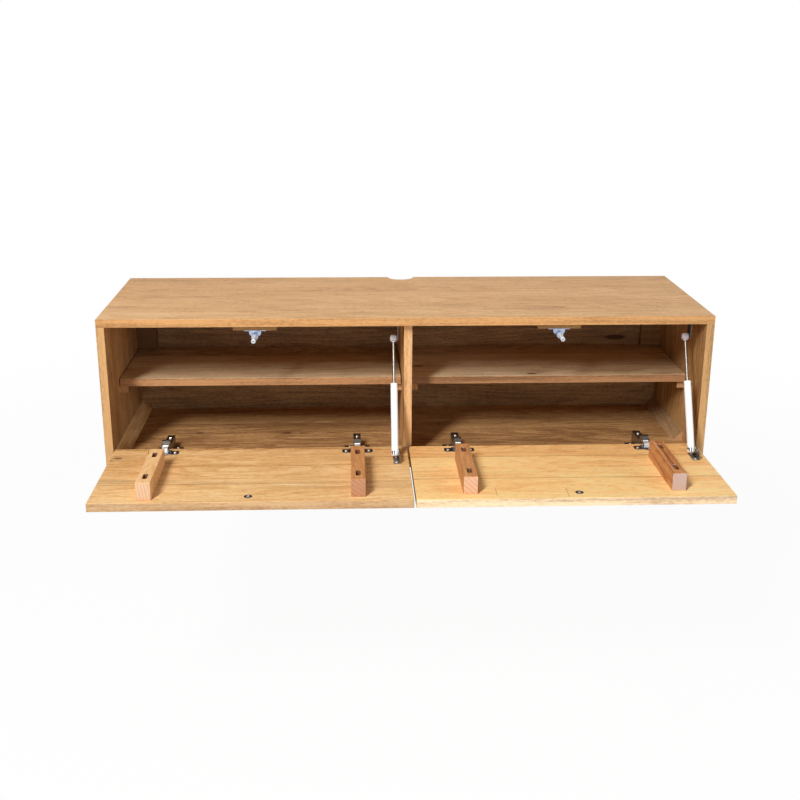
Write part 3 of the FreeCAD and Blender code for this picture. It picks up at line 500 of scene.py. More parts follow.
@dataclass(frozen=True)
class Timber:
    """Oiled hardwood glued up from staves, as a solid pattern that reaches end grain.

    Attributes:
        name: Name of the material.
        grain: Which axes the grain follows.
        pale, honey, amber, brown: Colours from the lightest wood to the darkest.
        stave: Width of a stave.
        first_joint: Place of one joint across the face.
        butts: Joints within staves.
        seed: Sets the pattern.
        tone: Shift of the whole board towards brown.
        contrast: How far the staves differ.
        bands: Strength of broad bands and long streaks.
        drift: Rise of the tone across the face, per metre from that joint; a painted shade
            gradient.
        streaks: Share of dark mineral streaks.
        ribbons: Strength of dark ribbons along the grain.
        joint: How dark the glue lines are.
        knots: Knots with their places.
        gloss: Roughness of the oiled face.
        end: Colour of the end grain, partly the wood's own end grain and partly painted shade.
        end_share: How far the end grain takes that colour.
        rings: Growth rings to the metre on the end grain, across the face and through it.
        edge: Colour of the long edges of a board, partly the wood's own edge grain and partly
            painted shade on the front-facing edges.
        edge_share: How far the long edges take that colour.
        hollows: Middles of screw slots, along and across, which take painted shade.
        hollow_top: Level of the face that the slots sink from.
    """

    name: str
    grain: Grain
    pale: tuple[float, ...] = linear(248, 218, 166)
    honey: tuple[float, ...] = linear(236, 195, 137)
    amber: tuple[float, ...] = linear(214, 166, 107)
    brown: tuple[float, ...] = linear(152, 106, 66)
    stave: float = 0.096
    first_joint: float = 0.0
    butts: tuple[Butt, ...] = ()
    seed: float = 1.0
    tone: float = 0.0
    contrast: float = 0.16
    bands: float = 1.0
    drift: float = 0.0
    streaks: float = 0.3
    ribbons: float = 0.0
    joint: float = 0.5
    knots: tuple[Knot, ...] = ()
    gloss: float = 0.50
    end: tuple[float, ...] = linear(226, 172, 124)
    end_share: float = 0.5
    rings: tuple[float, float] = (120.0, 60.0)
    edge: tuple[float, ...] = linear(236, 196, 146)
    edge_share: float = 0.0
    hollows: tuple[tuple[float, float], ...] = ()
    hollow_top: float = -0.132

    def make(self) -> bpy.types.Material:
        """Build the material.

        The tone of the wood is one number, added up from broad clouds, long streaks, growth
        lines and fibres, which a ramp turns into colour.  Growth lines are contours of a
        noise stretched along the grain; a knot raises that noise, so lines close round it.

        Returns:
            The finished material.
        """
        material, web = Web.of_material(self.name)
        spot = web.node("ShaderNodeTexCoord")
        axes, facing = web.parts(spot["Object"]), web.parts(spot["Normal"])
        place = [axes[k] for k in self.grain.value]
        along, across, depth = place
        end_face, long_face = (abs(facing[k]).step(0.70, 0.92) for k in self.grain.value[:2])

        staves = (across - self.first_joint) / self.stave
        row = staves.floor()
        lot = web.node("ShaderNodeTexWhiteNoise", {"noise_dimensions": "1D"},
                       {"W": row + self.seed * 7.31})
        lots = web.parts(lot["Color"])
        offset = row * 3.7 + self.seed * 5.3

        # Growth lines are counted to the unit of growth, and to the metre across and through.
        growth, cores = self._knotted(web, place, GROWTH.read(web, place, offset, self.seed))
        line = (growth * 24.0 + across * 34.0 + depth * 48.0).fraction().crest(0.20, 0.90, 0.92)
        streak = STREAK.read(web, place, offset)
        fibre = FIBRE.read(web, place, 0.0, self.seed)
        dark = VEIN.read(web, place, offset, 4.1).step(0.57, 0.74) * self.streaks
        pores = PORE.read(web, place, 0.0, self.seed).step(0.59, 0.69)
        figure = web.noise(
            web.vector(along * 13.0 + across * 16.0, across * 24.0 - along * 3.0, depth * 10.0))
        detail = (THREAD.read(web, place, offset).swing(0.44) + fibre.swing(0.56)
                  + FLECK.read(web, place, 0.0, -self.seed).swing(0.80))

        # Each noise swings the tone by its own width, from pale at 0 to brown at 1.
        tone = (0.36 + self.tone + detail
                + CLOUD.read(web, place, offset).swing(1.00 * self.bands)
                + streak.swing(0.66 * self.bands)
                + figure.swing(0.42)
                + lots[0].swing(2.0 * self.contrast)
                # painted shade: the tone drifts across the face
                + (across - self.first_joint) * self.drift
                + line * (0.06 + 0.16 * self.bands))
        if self.ribbons:
            ribbon = (across * 105.0 + depth * 150.0 + growth * 5.0).fraction()
            tone = tone + (ribbon.crest(0.25, 0.80, 0.90) * streak.step(0.30, 0.62)
                           * self.ribbons)
        colour = web.node("ShaderNodeValToRGB", {"stops": (
            (0.0, self.pale), (0.33, self.honey), (0.66, self.amber), (1.0, self.brown))},
            {"Fac": tone})["Color"]
        colour = web.blend((lots[1] - 0.2) * 0.20, colour, WARM_WOOD)
        colour = web.blend(dark, colour, VEIN_BROWN)
        colour = web.blend(pores * 0.36, colour, PORE_BROWN)

        # The long edges and the end grain take their own colours, which hold painted shade as
        # well as the wood's edge and end grain.
        if self.edge_share:
            marks = 0.34 + streak.swing(4.4) + detail * 2.2
            edge = web.blend(marks, self.edge, shaded(self.edge, 0.54))
            colour = web.blend(long_face * self.edge_share, colour, edge)
        arcs = (across * self.rings[0] + depth * self.rings[1] + growth * 3.0).fraction()
        ringed = arcs.crest(0.15, 0.80, 0.90) * 0.6 + fibre.swing(1.6)
        end = web.blend(ringed, self.end, shaded(self.end, 0.70))
        colour = web.blend(end_face * self.end_share, colour, end)

        joints = self._joints(web, place, staves, lots[2])
        colour = web.blend(joints * self.joint, colour, GLUE_BROWN)
        if cores is not None:
            colour = web.blend(cores * 0.95, colour, HEART_BROWN)
        # Painted shade: each screw slot darkens with depth below the face.
        for middle_along, middle_across in self.hollows:
            slot_shade = (web.within(along, middle_along, SLOT_HALF_LENGTH)
                      * web.within(across, middle_across, SLOT_HALF_WIDTH)
                      * depth.step(*(self.hollow_top - deep for deep in SLOT_DEPTHS)))
            colour = web.blend(slot_shade * 0.86, colour, SLOT_SHADE)

        height = fibre * 0.4 + line * 0.25 - pores * 0.8 - joints * 0.9
        web.shade(
            Base_Color=colour,
            Roughness=self.gloss + fibre.swing(0.16) + pores * 0.12 + end_face * 0.14,
            Specular_IOR_Level=0.26,
            Normal=web.bump(height, 0.35, 0.0004),
        )
        return material

    def _knotted(self, web: Web, place: Sequence[Wire], growth: Wire
                 ) -> tuple[Wire, Wire | None]:
        """Raise the growth noise round each knot by exp(-(d / 3 r)^2).

        The distance d from the knot's heart is shrunk along the grain by its stretch, and r
        is its radius.

        Args:
            web: Builder of the node tree.
            place: Places along the grain, across the face and through the board.
            growth: The noise whose contours are the growth lines.

        Returns:
            The raised noise, and the darkness of the hearts where there are knots.
        """
        along, across, _ = place
        cores: Wire | None = None
        for knot in self.knots:
            reach = (((along - knot.along) / knot.stretch) ** 2.0
                     + (across - knot.across) ** 2.0)
            wide = (reach / (-1.0 * (3.0 * knot.radius) ** 2)).exp()
            growth = growth + wide * knot.lift
            near = reach.root() / knot.radius
            core = web.maths("MAXIMUM", near.step(1.3, 0.6), wide * 0.30) * knot.heart
            cores = core if cores is None else web.maths("MAXIMUM", cores, core)
        return growth, cores

    def _joints(self, web: Web, place: Sequence[Wire], staves: Wire, lot: Wire) -> Wire:
        """Draw the glue lines between the staves and the butt joints within them.

        Args:
            web: Builder of the node tree.
            place: Places along the grain, across the face and through the board.
            staves: Place across the face, counted in staves.
            lot: A random value of 0 to 1 for each stave.

        Returns:
            How far a place lies in a joint.
        """
        along, across, _ = place
        seam = abs(staves.fraction() - 0.5)
        joints = seam.step(0.5 - GLUE_LINE / self.stave, 0.5) * (0.70 + lot * 0.45)
        for butt in self.butts:
            tick = (web.within(along, butt.along, BUTT_HALF, BUTT_SOFT)
                    * across.step(butt.low - BUTT_END, butt.low)
                    * across.step(butt.high + BUTT_END, butt.high))
            joints = web.maths("MAXIMUM", joints, tick * 0.5)
        return joints


@dataclass(frozen=True)
class Plated:
    """Plated or polished metal with drawn scratches and a little cloudiness.

    Attributes:
        name: Name of the material.
        colour: Colour of the clean metal.
        dull: Colour of its cloudy spots.
        roughness: Roughness of the clean metal.
        cloud: Share of cloudiness.
        scratch: Depth of the drawn scratches.
    """

    name: str
    colour: tuple[float, ...]
    dull: tuple[float, ...]
    roughness: float = 0.24
    cloud: float = 0.5
    scratch: float = 0.25

    def make(self) -> bpy.types.Material:
        """Build the material.

        Returns:
            The finished material.
        """
        material, web = Web.of_material(self.name)
        place = web.node("ShaderNodeTexCoord")["Object"]
        x, y, z = web.parts(place)
        drawn = web.noise(web.vector(x * 2600.0, y * 180.0, z * 1500.0), detail=3.0,
                          roughness=0.6)
        cloudy = web.noise(place, 170.0, detail=4.0, roughness=0.6).step(0.42, 0.68)
        web.shade(
            Base_Color=web.blend(cloudy * self.cloud, self.colour, self.dull),
            Metallic=1.0,
            Roughness=self.roughness + cloudy * 0.12 + drawn.swing(0.14),
            Normal=web.bump(drawn + cloudy * 0.4, self.scratch, 0.00005),
        )
        return material


@dataclass(frozen=True)
class Coated:
    """Paint or moulded plastic with a fine skin and a few worn, dirty places.

    Attributes:
        name: Name of the material.
        colour: Colour of the clean skin.
        worn: Colour where it is worn or dirty.
        roughness: Roughness of the skin.
        grain: Size of the skin's texture, in features to the metre.
        relief: Strength of that texture.
        slots: Middles of narrow slots, along X and Z, painted near black as shade.
        slot_half: Half width and half height of a slot.
    """

    name: str
    colour: tuple[float, ...]
    worn: tuple[float, ...]
    roughness: float = 0.35
    grain: float = 1400.0
    relief: float = 0.12
    slots: tuple[tuple[float, float], ...] = ()
    slot_half: tuple[float, float] = (0.0009, 0.003)

    def make(self) -> bpy.types.Material:
        """Build the material.

        Returns:
            The finished material.
        """
        material, web = Web.of_material(self.name)
        place = web.node("ShaderNodeTexCoord")["Object"]
        x, _, z = web.parts(place)
        skin = web.noise(place, self.grain)
        patches = web.noise(place, 95.0, detail=4.0, roughness=0.62).step(0.50, 0.74)
        colour = web.blend(patches * 0.35, self.colour, self.worn)
        half_width, half_height = self.slot_half
        # Painted shade: the slots are filled with near black.
        for slot_x, slot_z in self.slots:
            slot_shade = (web.within(x, slot_x, half_width, 0.0002)
                      * web.within(z, slot_z, half_height))
            colour = web.blend(slot_shade, colour, (0.012, 0.012, 0.016, 1.0))
        web.shade(
            Base_Color=colour,
            Roughness=self.roughness + patches * 0.14 + skin.swing(0.10),
            Coat_Weight=0.10,
            Coat_Roughness=0.25,
            Normal=web.bump(skin, self.relief, 0.0001),
        )
        return material


Finish = Timber | Plated | Coated


# --------------------------------------------------------------------------- surfaces

# Points nearer to each other than this, in metres, are one; shorter edges are dropped.
SAME_POINT = 2e-6
SHORT_EDGE = 1e-7


def quads_of_grid(rows: int, columns: int) -> np.ndarray:
    """Number the four corners of each cell of a grid whose columns close into a ring.

    Args:
        rows: Points along the profile.
        columns: Points round the ring.

    Returns:
        An array of quads; cell (i, j) has corners i, i + 1 and j, j + 1 modulo columns.
    """
    i, j = np.meshgrid(np.arange(rows - 1), np.arange(columns), indexing="ij")
    following = (j + 1) % columns
    corners = (i * columns + j, i * columns + following,
               (i + 1) * columns + following, (i + 1) * columns + j)
    return np.stack(corners, axis=-1).reshape(-1, 4)


def piece_from_grids(name: str, grids: Iterable[np.ndarray], sharp: float = 34.0
                     ) -> bpy.types.Object:
    """Join ring-shaped grids of points into one finished piece.

    Doubled points at poles are merged and normals turned outwards.

    Args:
        name: Name of the piece.
        grids: Arrays of shape (rows, columns, 3), in metres.
        sharp: Angle in degrees over which an edge stays sharp.

    Returns:
        The new object, at the origin.
    """
    points: list[np.ndarray] = []
    faces: list[np.ndarray] = []
    count = 0
    for grid in grids:
        rows, columns = grid.shape[:2]
        faces.append(quads_of_grid(rows, columns) + count)
        points.append(grid.reshape(-1, 3))
        count += rows * columns
    mesh = bpy.data.meshes.new(name)
    mesh.from_pydata(np.concatenate(points).tolist(), [], np.concatenate(faces).tolist())
    work = bmesh.new()
    work.from_mesh(mesh)
    bmesh.ops.remove_doubles(work, verts=work.verts, dist=SAME_POINT)
    bmesh.ops.dissolve_degenerate(work, edges=work.edges, dist=SHORT_EDGE)
    bmesh.ops.recalc_face_normals(work, faces=work.faces)
    work.to_mesh(mesh)
    work.free()
    mesh.shade_smooth()
    mesh.set_sharp_from_angle(angle=math.radians(sharp))
    made = bpy.data.objects.new(name, mesh)
    bpy.context.scene.collection.objects.link(made)
    LOG.info("piece: %s with %d faces", name, len(mesh.polygons))
    return made


@dataclass(frozen=True)
class Axis:
    """A line that rings stand round.

    Attributes:
        origin: A point on the line, in metres.
        direction: Unit vector along the line.
    """

    origin: np.ndarray
    direction: np.ndarray

    def basis(self) -> tuple[np.ndarray, np.ndarray]:
        """Return two unit vectors across the line: the first is level."""
        first = np.cross(self.direction, np.array([0.0, 0.0, 1.0]))
        if np.linalg.norm(first) < 1e-6:
            first = np.array([1.0, 0.0, 0.0])
        first = first / np.linalg.norm(first)
        return first, np.cross(self.direction, first)

    def turn(self, profile: Sequence[tuple[float, float]], columns: int = 48) -> np.ndarray:
        """Turn a profile about the line.

        A point at height h and radius r goes to origin + h direction + r (cos t first +
        sin t second), with t from 0 to a full turn.

        Args:
            profile: Radius and height of each point, in millimetres.
            columns: Points round the ring.

        Returns:
            A grid of points.
        """
        radius, height = np.array(profile).T / 1000.0
        return self.loft(radius, radius, height, columns, 2.0)

    def loft(self, half_a: np.ndarray, half_b: np.ndarray, height: np.ndarray,
             columns: int, power: float) -> np.ndarray:
        """Carry a superellipse along the line.

        The ring at each height is |a|^n + |b|^n = 1 with half widths a and b: its points
        are a sign(cos t) |cos t|^(2/n) and b sign(sin t) |sin t|^(2/n).

        Args:
            half_a: Half width along the first vector at each height.
            half_b: Half width along the second vector at each height.
            height: Heights along the line.
            columns: Points round the ring.
            power: The exponent n; 2 is an ellipse, more is squarer.

        Returns:
            A grid of points.
        """
        first, second = self.basis()
        turn = np.arange(columns) * 2.0 * math.pi / columns
        cosine, sine = np.cos(turn), np.sin(turn)
        across = np.sign(cosine) * np.abs(cosine) ** (2.0 / power)
        upright = np.sign(sine) * np.abs(sine) ** (2.0 / power)
        return (self.origin
                + height[:, None, None] * self.direction
                + (half_a[:, None] * across)[..., None] * first
                + (half_b[:, None] * upright)[..., None] * second)


def rounded(points: Sequence[tuple[float, float]], radius: float, steps: int = 4
            ) -> list[tuple[float, float]]:
    """Round the inner corners of a profile with short Bezier arcs.

    Each corner gives way to the curve (1-t)^2 a + 2t(1-t) corner + t^2 b, where a and b lie
    on its two sides at the radius's distance, or nearer on a short side.

    Args:
        points: Corners of the profile.
        radius: Distance from the corner where the rounding starts.
        steps: Parts of each arc.

    Returns:
        The profile with its ends unchanged.
    """
    corners = np.array(points, float)
    made: list[tuple[float, float]] = [tuple(corners[0])]
    share = np.linspace(0.0, 1.0, steps + 1)[:, None]
    for before, corner, after in zip(corners, corners[1:], corners[2:]):
        back, ahead = before - corner, after - corner
        near = min(radius, 0.45 * np.linalg.norm(back), 0.45 * np.linalg.norm(ahead))
        a = corner + back / np.linalg.norm(back) * near
        b = corner + ahead / np.linalg.norm(ahead) * near
        arc = (1 - share) ** 2 * a + 2 * share * (1 - share) * corner + share ** 2 * b
        made.extend(tuple(point) for point in arc)
    made.append(tuple(corners[-1]))
    return made


# --------------------------------------------------------------------- finishes in use


@dataclass
class Paints:
    """All finishes of the console, made once and found by name."""

    made: dict[str, bpy.types.Material] = field(default_factory=dict)

    def dress(self, node: bpy.types.Object, finish: Finish) -> None:
        """Give a node one finish in all its material slots.

        Args:
            node: A node of the frame, or a new piece.
            finish: The finish.
        """
        if finish.name not in self.made:
            self.made[finish.name] = finish.make()
        material = self.made[finish.name]
        if not node.material_slots:
            node.data.materials.append(material)
        for held in node.material_slots:
            held.material = material


ARM_STEEL = Plated("hinge_arm_steel", (0.30, 0.28, 0.26, 1.0), (0.17, 0.16, 0.15, 1.0), 0.26, 0.5)
NICKEL = Plated("nickel_plate", (0.97, 0.97, 0.96, 1.0), (0.84, 0.83, 0.82, 1.0), 0.46, 0.25)
CUP_STEEL = Plated("hinge_cup_steel", (0.44, 0.45, 0.46, 1.0), (0.26, 0.27, 0.28, 1.0), 0.20, 0.5)
DARK_ZINC = Plated("dark_bracket_zinc", (0.17, 0.16, 0.15, 1.0), (0.08, 0.075, 0.07, 1.0),
                   0.46, 0.6)
ZINC = Plated("bracket_zinc", (0.36, 0.35, 0.33, 1.0), (0.14, 0.13, 0.12, 1.0), 0.24, 0.6)
LATCH_ZINC = Plated("latch_zinc", (0.48, 0.56, 0.70, 1.0), (0.30, 0.37, 0.50, 1.0), 0.32, 0.6)
MIRROR_STEEL = Plated("strike_steel", (0.34, 0.33, 0.32, 1.0), (0.18, 0.17, 0.16, 1.0), 0.12, 0.3)
ROD_STEEL = Plated("rod_steel", (0.20, 0.18, 0.16, 1.0), (0.14, 0.12, 0.10, 1.0), 0.34, 0.3, 0.1)
SCREW_STEEL = Plated("screw_steel", (0.62, 0.60, 0.57, 1.0), (0.30, 0.28, 0.26, 1.0), 0.26, 0.6)
TUBE_WHITE = Coated("tube_white", (0.93, 0.93, 0.93, 1.0), (0.84, 0.83, 0.82, 1.0), 0.30)
CAP_GREY = Coated("cap_grey", linear(190, 186, 190), linear(140, 134, 136), 0.45, 1100.0, 0.25)
PLUNGER_GREY = Coated("plunger_grey", linear(214, 220, 228), linear(160, 166, 176), 0.34)


# --------------------------------------------------------------------- sub-assemblies


@dataclass
class SubAssembly(ABC):
    """Pieces of the console that are built and dressed together.

    Attributes:
        paints: The finishes made so far.
        nodes: The nodes of the frame, by name.
    """

    paints: Paints
    nodes: dict[str, bpy.types.Object]

    @abstractmethod
    def build(self) -> None:
        """Make the new pieces and dress the nodes."""

    def dress(self, finishes: dict[str, Finish]) -> None:
        """Give each named node its finish."""
        for name, finish in finishes.items():
            self.paints.dress(self.nodes[name], finish)
        LOG.info("%s: %d nodes dressed", type(self).__name__, len(finishes))


@dataclass
class Case(SubAssembly):
    """The wooden case: panels, divider, back, small wood and hanging rails."""

    def build(self) -> None:
        """Give each board its own cut of timber."""
        side = Timber("side_timber", Grain.UPRIGHT, seed=5.0, stave=0.11, first_joint=-0.41,
                      tone=0.26, joint=0.2, contrast=0.10,
                      edge=linear(204, 160, 107), edge_share=0.85,
                      **tones((222, 188, 138), (202, 164, 112), (176, 136, 88), (130, 94, 58)))
        rail = Timber("rail_timber", Grain.BACK, seed=23.0, stave=0.3, tone=0.02,
                      streaks=0.15, joint=0.0, gloss=0.62)
        block = Timber("block_timber", Grain.LEVEL, seed=29.0, stave=0.3, tone=0.30,
                       streaks=0.1, joint=0.0, gloss=0.55,
                       **tones((214, 182, 132), (194, 160, 110), (168, 134, 88)))
        corner = replace(block, name="corner_timber", seed=37.0, tone=0.62,
                         end=linear(120, 90, 56),
                         **tones((176, 142, 96), (156, 122, 78), (130, 98, 60), (98, 70, 42)))
        strip = Timber("strip_timber", Grain.BATTEN, seed=31.0, stave=0.3, tone=0.10,
                       streaks=0.1, joint=0.0, gloss=0.55)
        # Painted shade: the right glue strip takes a darker copy of the strip timber, and the
        # cleats under the shelves a darker one still.
        shadowed = replace(strip, name="dusky_strip_timber", seed=33.0, tone=0.32,
                        streaks=0.03, bands=0.3, **tones(
                            (208, 174, 132), (186, 152, 112), (160, 126, 90), (120, 90, 62)))
        cleat = replace(shadowed, name="cleat_timber", seed=37.0, tone=1.25)
        self.dress({
            "top_panel": Timber(
                "top_timber", Grain.LEVEL, seed=3.0, stave=0.118, first_joint=-0.402,
                contrast=0.05, bands=0.7, streaks=0.12, joint=0.10, tone=0.12,
                edge=linear(206, 152, 96), edge_share=0.8,
                **tones((234, 194, 142), (222, 177, 123), (204, 154, 98))),
            # Painted shade: tone and drift darken the bottom panel towards the front.
            "bottom_panel": Timber(
                "bottom_timber", Grain.LEVEL, seed=11.0, stave=0.121, first_joint=-0.400,
                tone=0.51, drift=-1.0, streaks=0.35, contrast=0.14,
                knots=(Knot(-0.465, -0.219, 0.0045), Knot(-0.267, -0.225, 0.0045)),
                **tones((232, 198, 148), (214, 172, 118), (188, 144, 94), (140, 100, 62))),
            "left_side_panel": side,
            "right_side_panel": side,
            "centre_divider": Timber(
                "divider_timber", Grain.UPRIGHT, seed=8.0, stave=0.2, first_joint=-0.41,
                tone=0.20, streaks=0.2, joint=0.05, edge=linear(232, 184, 132),
                edge_share=0.8),
            "back_panel": Timber(
                "back_timber", Grain.BACK, seed=17.0, stave=0.098, first_joint=-0.196,
                tone=0.32, streaks=0.4, contrast=0.08, bands=0.7, joint=0.25,
                knots=(Knot(0.518, -0.024, 0.0068, stretch=4.0),),
                **tones((230, 202, 156), (210, 178, 130), (182, 149, 106), (134, 105, 72))),
            "case_hanging_rail": rail,
            "wall_rail": rail,
            "left_corner_block": corner,
            "right_corner_block": replace(corner, name="right_corner_timber", tone=-0.10),
            "left_glue_strip": strip,
            "right_glue_strip": shadowed,
            "left_shelf_cleats": cleat,
            "right_shelf_cleats": cleat,
            "left_latch_block": block,
            "right_latch_block": block,
        })


@dataclass
class Shelves(SubAssembly):
    """The two loose shelves."""

    def build(self) -> None:
        """Give each shelf its own cut of timber."""
        left = Timber("left_shelf_timber", Grain.LEVEL, seed=41.0, stave=0.09,
                      first_joint=-0.30, tone=0.10, edge=linear(187, 138, 94), edge_share=1.0,
                      **tones((230, 210, 174), (211, 186, 148), (185, 158, 122), (140, 111, 81)))
        right = replace(left, name="right_shelf_timber", seed=47.0, tone=0.14,
                        edge=linear(172, 127, 88),
                        knots=(Knot(0.0315, -0.216, 0.005), Knot(0.280, -0.281, 0.0055)),
                        **tones((230, 213, 179), (210, 188, 152), (184, 160, 126),
                                (140, 113, 85)))
        self.dress({"left_shelf": left, "right_shelf": right})


@dataclass
class Doors(SubAssembly):
    """The drop-down doors, their battens and the polished strike plates.

    Attributes:
        face: Height of the open door's inner face, in millimetres over the underside.
        strike_radius: Radius of a strike plate, in millimetres.
    """

    face: float = 45.0
    strike_radius: float = 8.0

    def build(self) -> None:
        """Dress the doors and battens and turn the strike plates."""
        self.dress(self.boards() | self.battens())
        self.strikes()

    def boards(self) -> dict[str, Finish]:
        """Return the timber of each door."""
        # Painted shade: drift darkens each door towards the case, and the dark end grain of the
        # doors stands in for shade in the gap between them.
        left = Timber("left_door_timber", Grain.LEVEL, seed=53.0, stave=0.0969,
                      first_joint=-0.5005, streaks=0.42, joint=0.85, tone=0.05, drift=1.4,
                      contrast=0.10, end=linear(120, 80, 48), end_share=0.9,
                      edge=linear(194, 155, 115), edge_share=0.8,
                      knots=(Knot(-0.605, -0.450, 0.006, heart=0.8, stretch=1.6),
                             Knot(-0.36, -0.55, 0.016, heart=0.0, stretch=4.0, lift=0.05)),
                      **tones((248, 215, 160), (236, 192, 132), (214, 163, 102), (152, 104, 63)))
        right = Timber("right_door_timber", Grain.LEVEL, seed=59.0, stave=0.1216,
                       first_joint=-0.4624, streaks=0.24, joint=0.85, tone=0.03, drift=1.7,
                       contrast=0.08, end=linear(120, 80, 48), end_share=0.9,
                       edge=linear(252, 220, 182), edge_share=0.9,
                       butts=(Butt(0.1586, -0.672, -0.636), Butt(0.2965, -0.684, -0.640)),
                       **tones((255, 221, 153), (255, 207, 137), (242, 182, 114),
                               (180, 121, 72)))
        return {"left_door": left, "right_door": right}

    def battens(self) -> dict[str, Finish]:
        """Return the timber of each batten, with painted shade in its two screw slots."""
        honey = Timber("batten_honey", Grain.BATTEN, seed=61.0, stave=0.3, joint=0.0,
                       tone=0.06, streaks=0.15, bands=0.6, rings=(170.0, 12.0),
                       end=linear(222, 182, 147), end_share=0.9,
                       **tones((246, 204, 150), (238, 190, 134)))
        amber = Timber("batten_amber", Grain.BATTEN, seed=67.0, stave=0.3, joint=0.0,
                       tone=0.08, streaks=0.2, bands=0.8, rings=(90.0, 110.0), ribbons=0.12,
                       end=linear(190, 138, 105), end_share=0.9,
                       **tones((216, 160, 104), (206, 147, 92), (188, 127, 76)))
        rose = replace(amber, name="batten_rose", seed=71.0, rings=(80.0, 90.0), ribbons=0.14,
                       end=linear(232, 184, 150),
                       **tones((216, 162, 108), (206, 150, 96), (186, 124, 76)))
        copper = replace(amber, name="batten_copper", seed=73.0, tone=-0.04, bands=1.0,
                         rings=(150.0, -140.0), ribbons=0.36, end=linear(206, 180, 172),
                         **tones((220, 164, 110), (208, 146, 92), (180, 114, 66),
                                 (134, 76, 42)))
        finishes: dict[str, Finish] = {}
        for finish, (name, (x, middle)) in zip((honey, amber, rose, copper), BATTENS.items()):
            places = [case_point(x, middle + shift, 0.0) for shift in (-SLOT_SPREAD, SLOT_SPREAD)]
            hollows = tuple((float(place[1]), float(place[0])) for place in places)
            finishes[name] = replace(finish, hollows=hollows)
        return finishes

    def strikes(self) -> None:
        """Turn the strike plates as dished rings with a rolled rim."""
        rim = self.strike_radius
        profile = rounded([(3.66, 0.45), (3.66, 1.18), (4.3, 1.40), (6.1, 1.10), (6.9, 1.12),
                           (7.5, 1.50), (rim, 1.20), (rim, 0.0), (2.2, 0.0), (2.2, 0.45),
                           (3.66, 0.45)], radius=0.35, steps=3)
        for side, sign in SIDES:
            axis = Axis(case_point(sign * LATCH_X, STRIKE_Y, self.face),
                        np.array([0.0, 0.0, 1.0]))
            plate = piece_from_grids(side + "_dished_strike", [axis.turn(profile, columns=56)])
            self.paints.dress(plate, MIRROR_STEEL)
            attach(plate, side + "_door")
            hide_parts(side + "_strike_plate")


@dataclass(frozen=True)
class Fixing:
    """One screw, or two to each side of a middle; lengths in millimetres.

    Attributes:
        y: Distance of the middle behind the front plane.
        seat: Height of the face under the heads.
        aside: Distance of each screw from the middle along the case.
        ahead: Distance of each screw from the middle towards the wall.
        head: Height of a head.
        hangs: Whether the screws are driven upwards, so that their heads hang.
    """

    y: float
    seat: float
    aside: float = 0.0
    ahead: float = 0.0
    head: float = 1.8
    hangs: bool = False

    def at(self, x: float) -> list[tuple[float, float, "Fixing"]]:
        """Return the place of each screw along and behind the case, with this fixing."""
        signs = (-1.0, 1.0) if self.aside or self.ahead else (0.0,)
        return [(x + sign * self.aside, self.y + sign * self.ahead, self) for sign in signs]


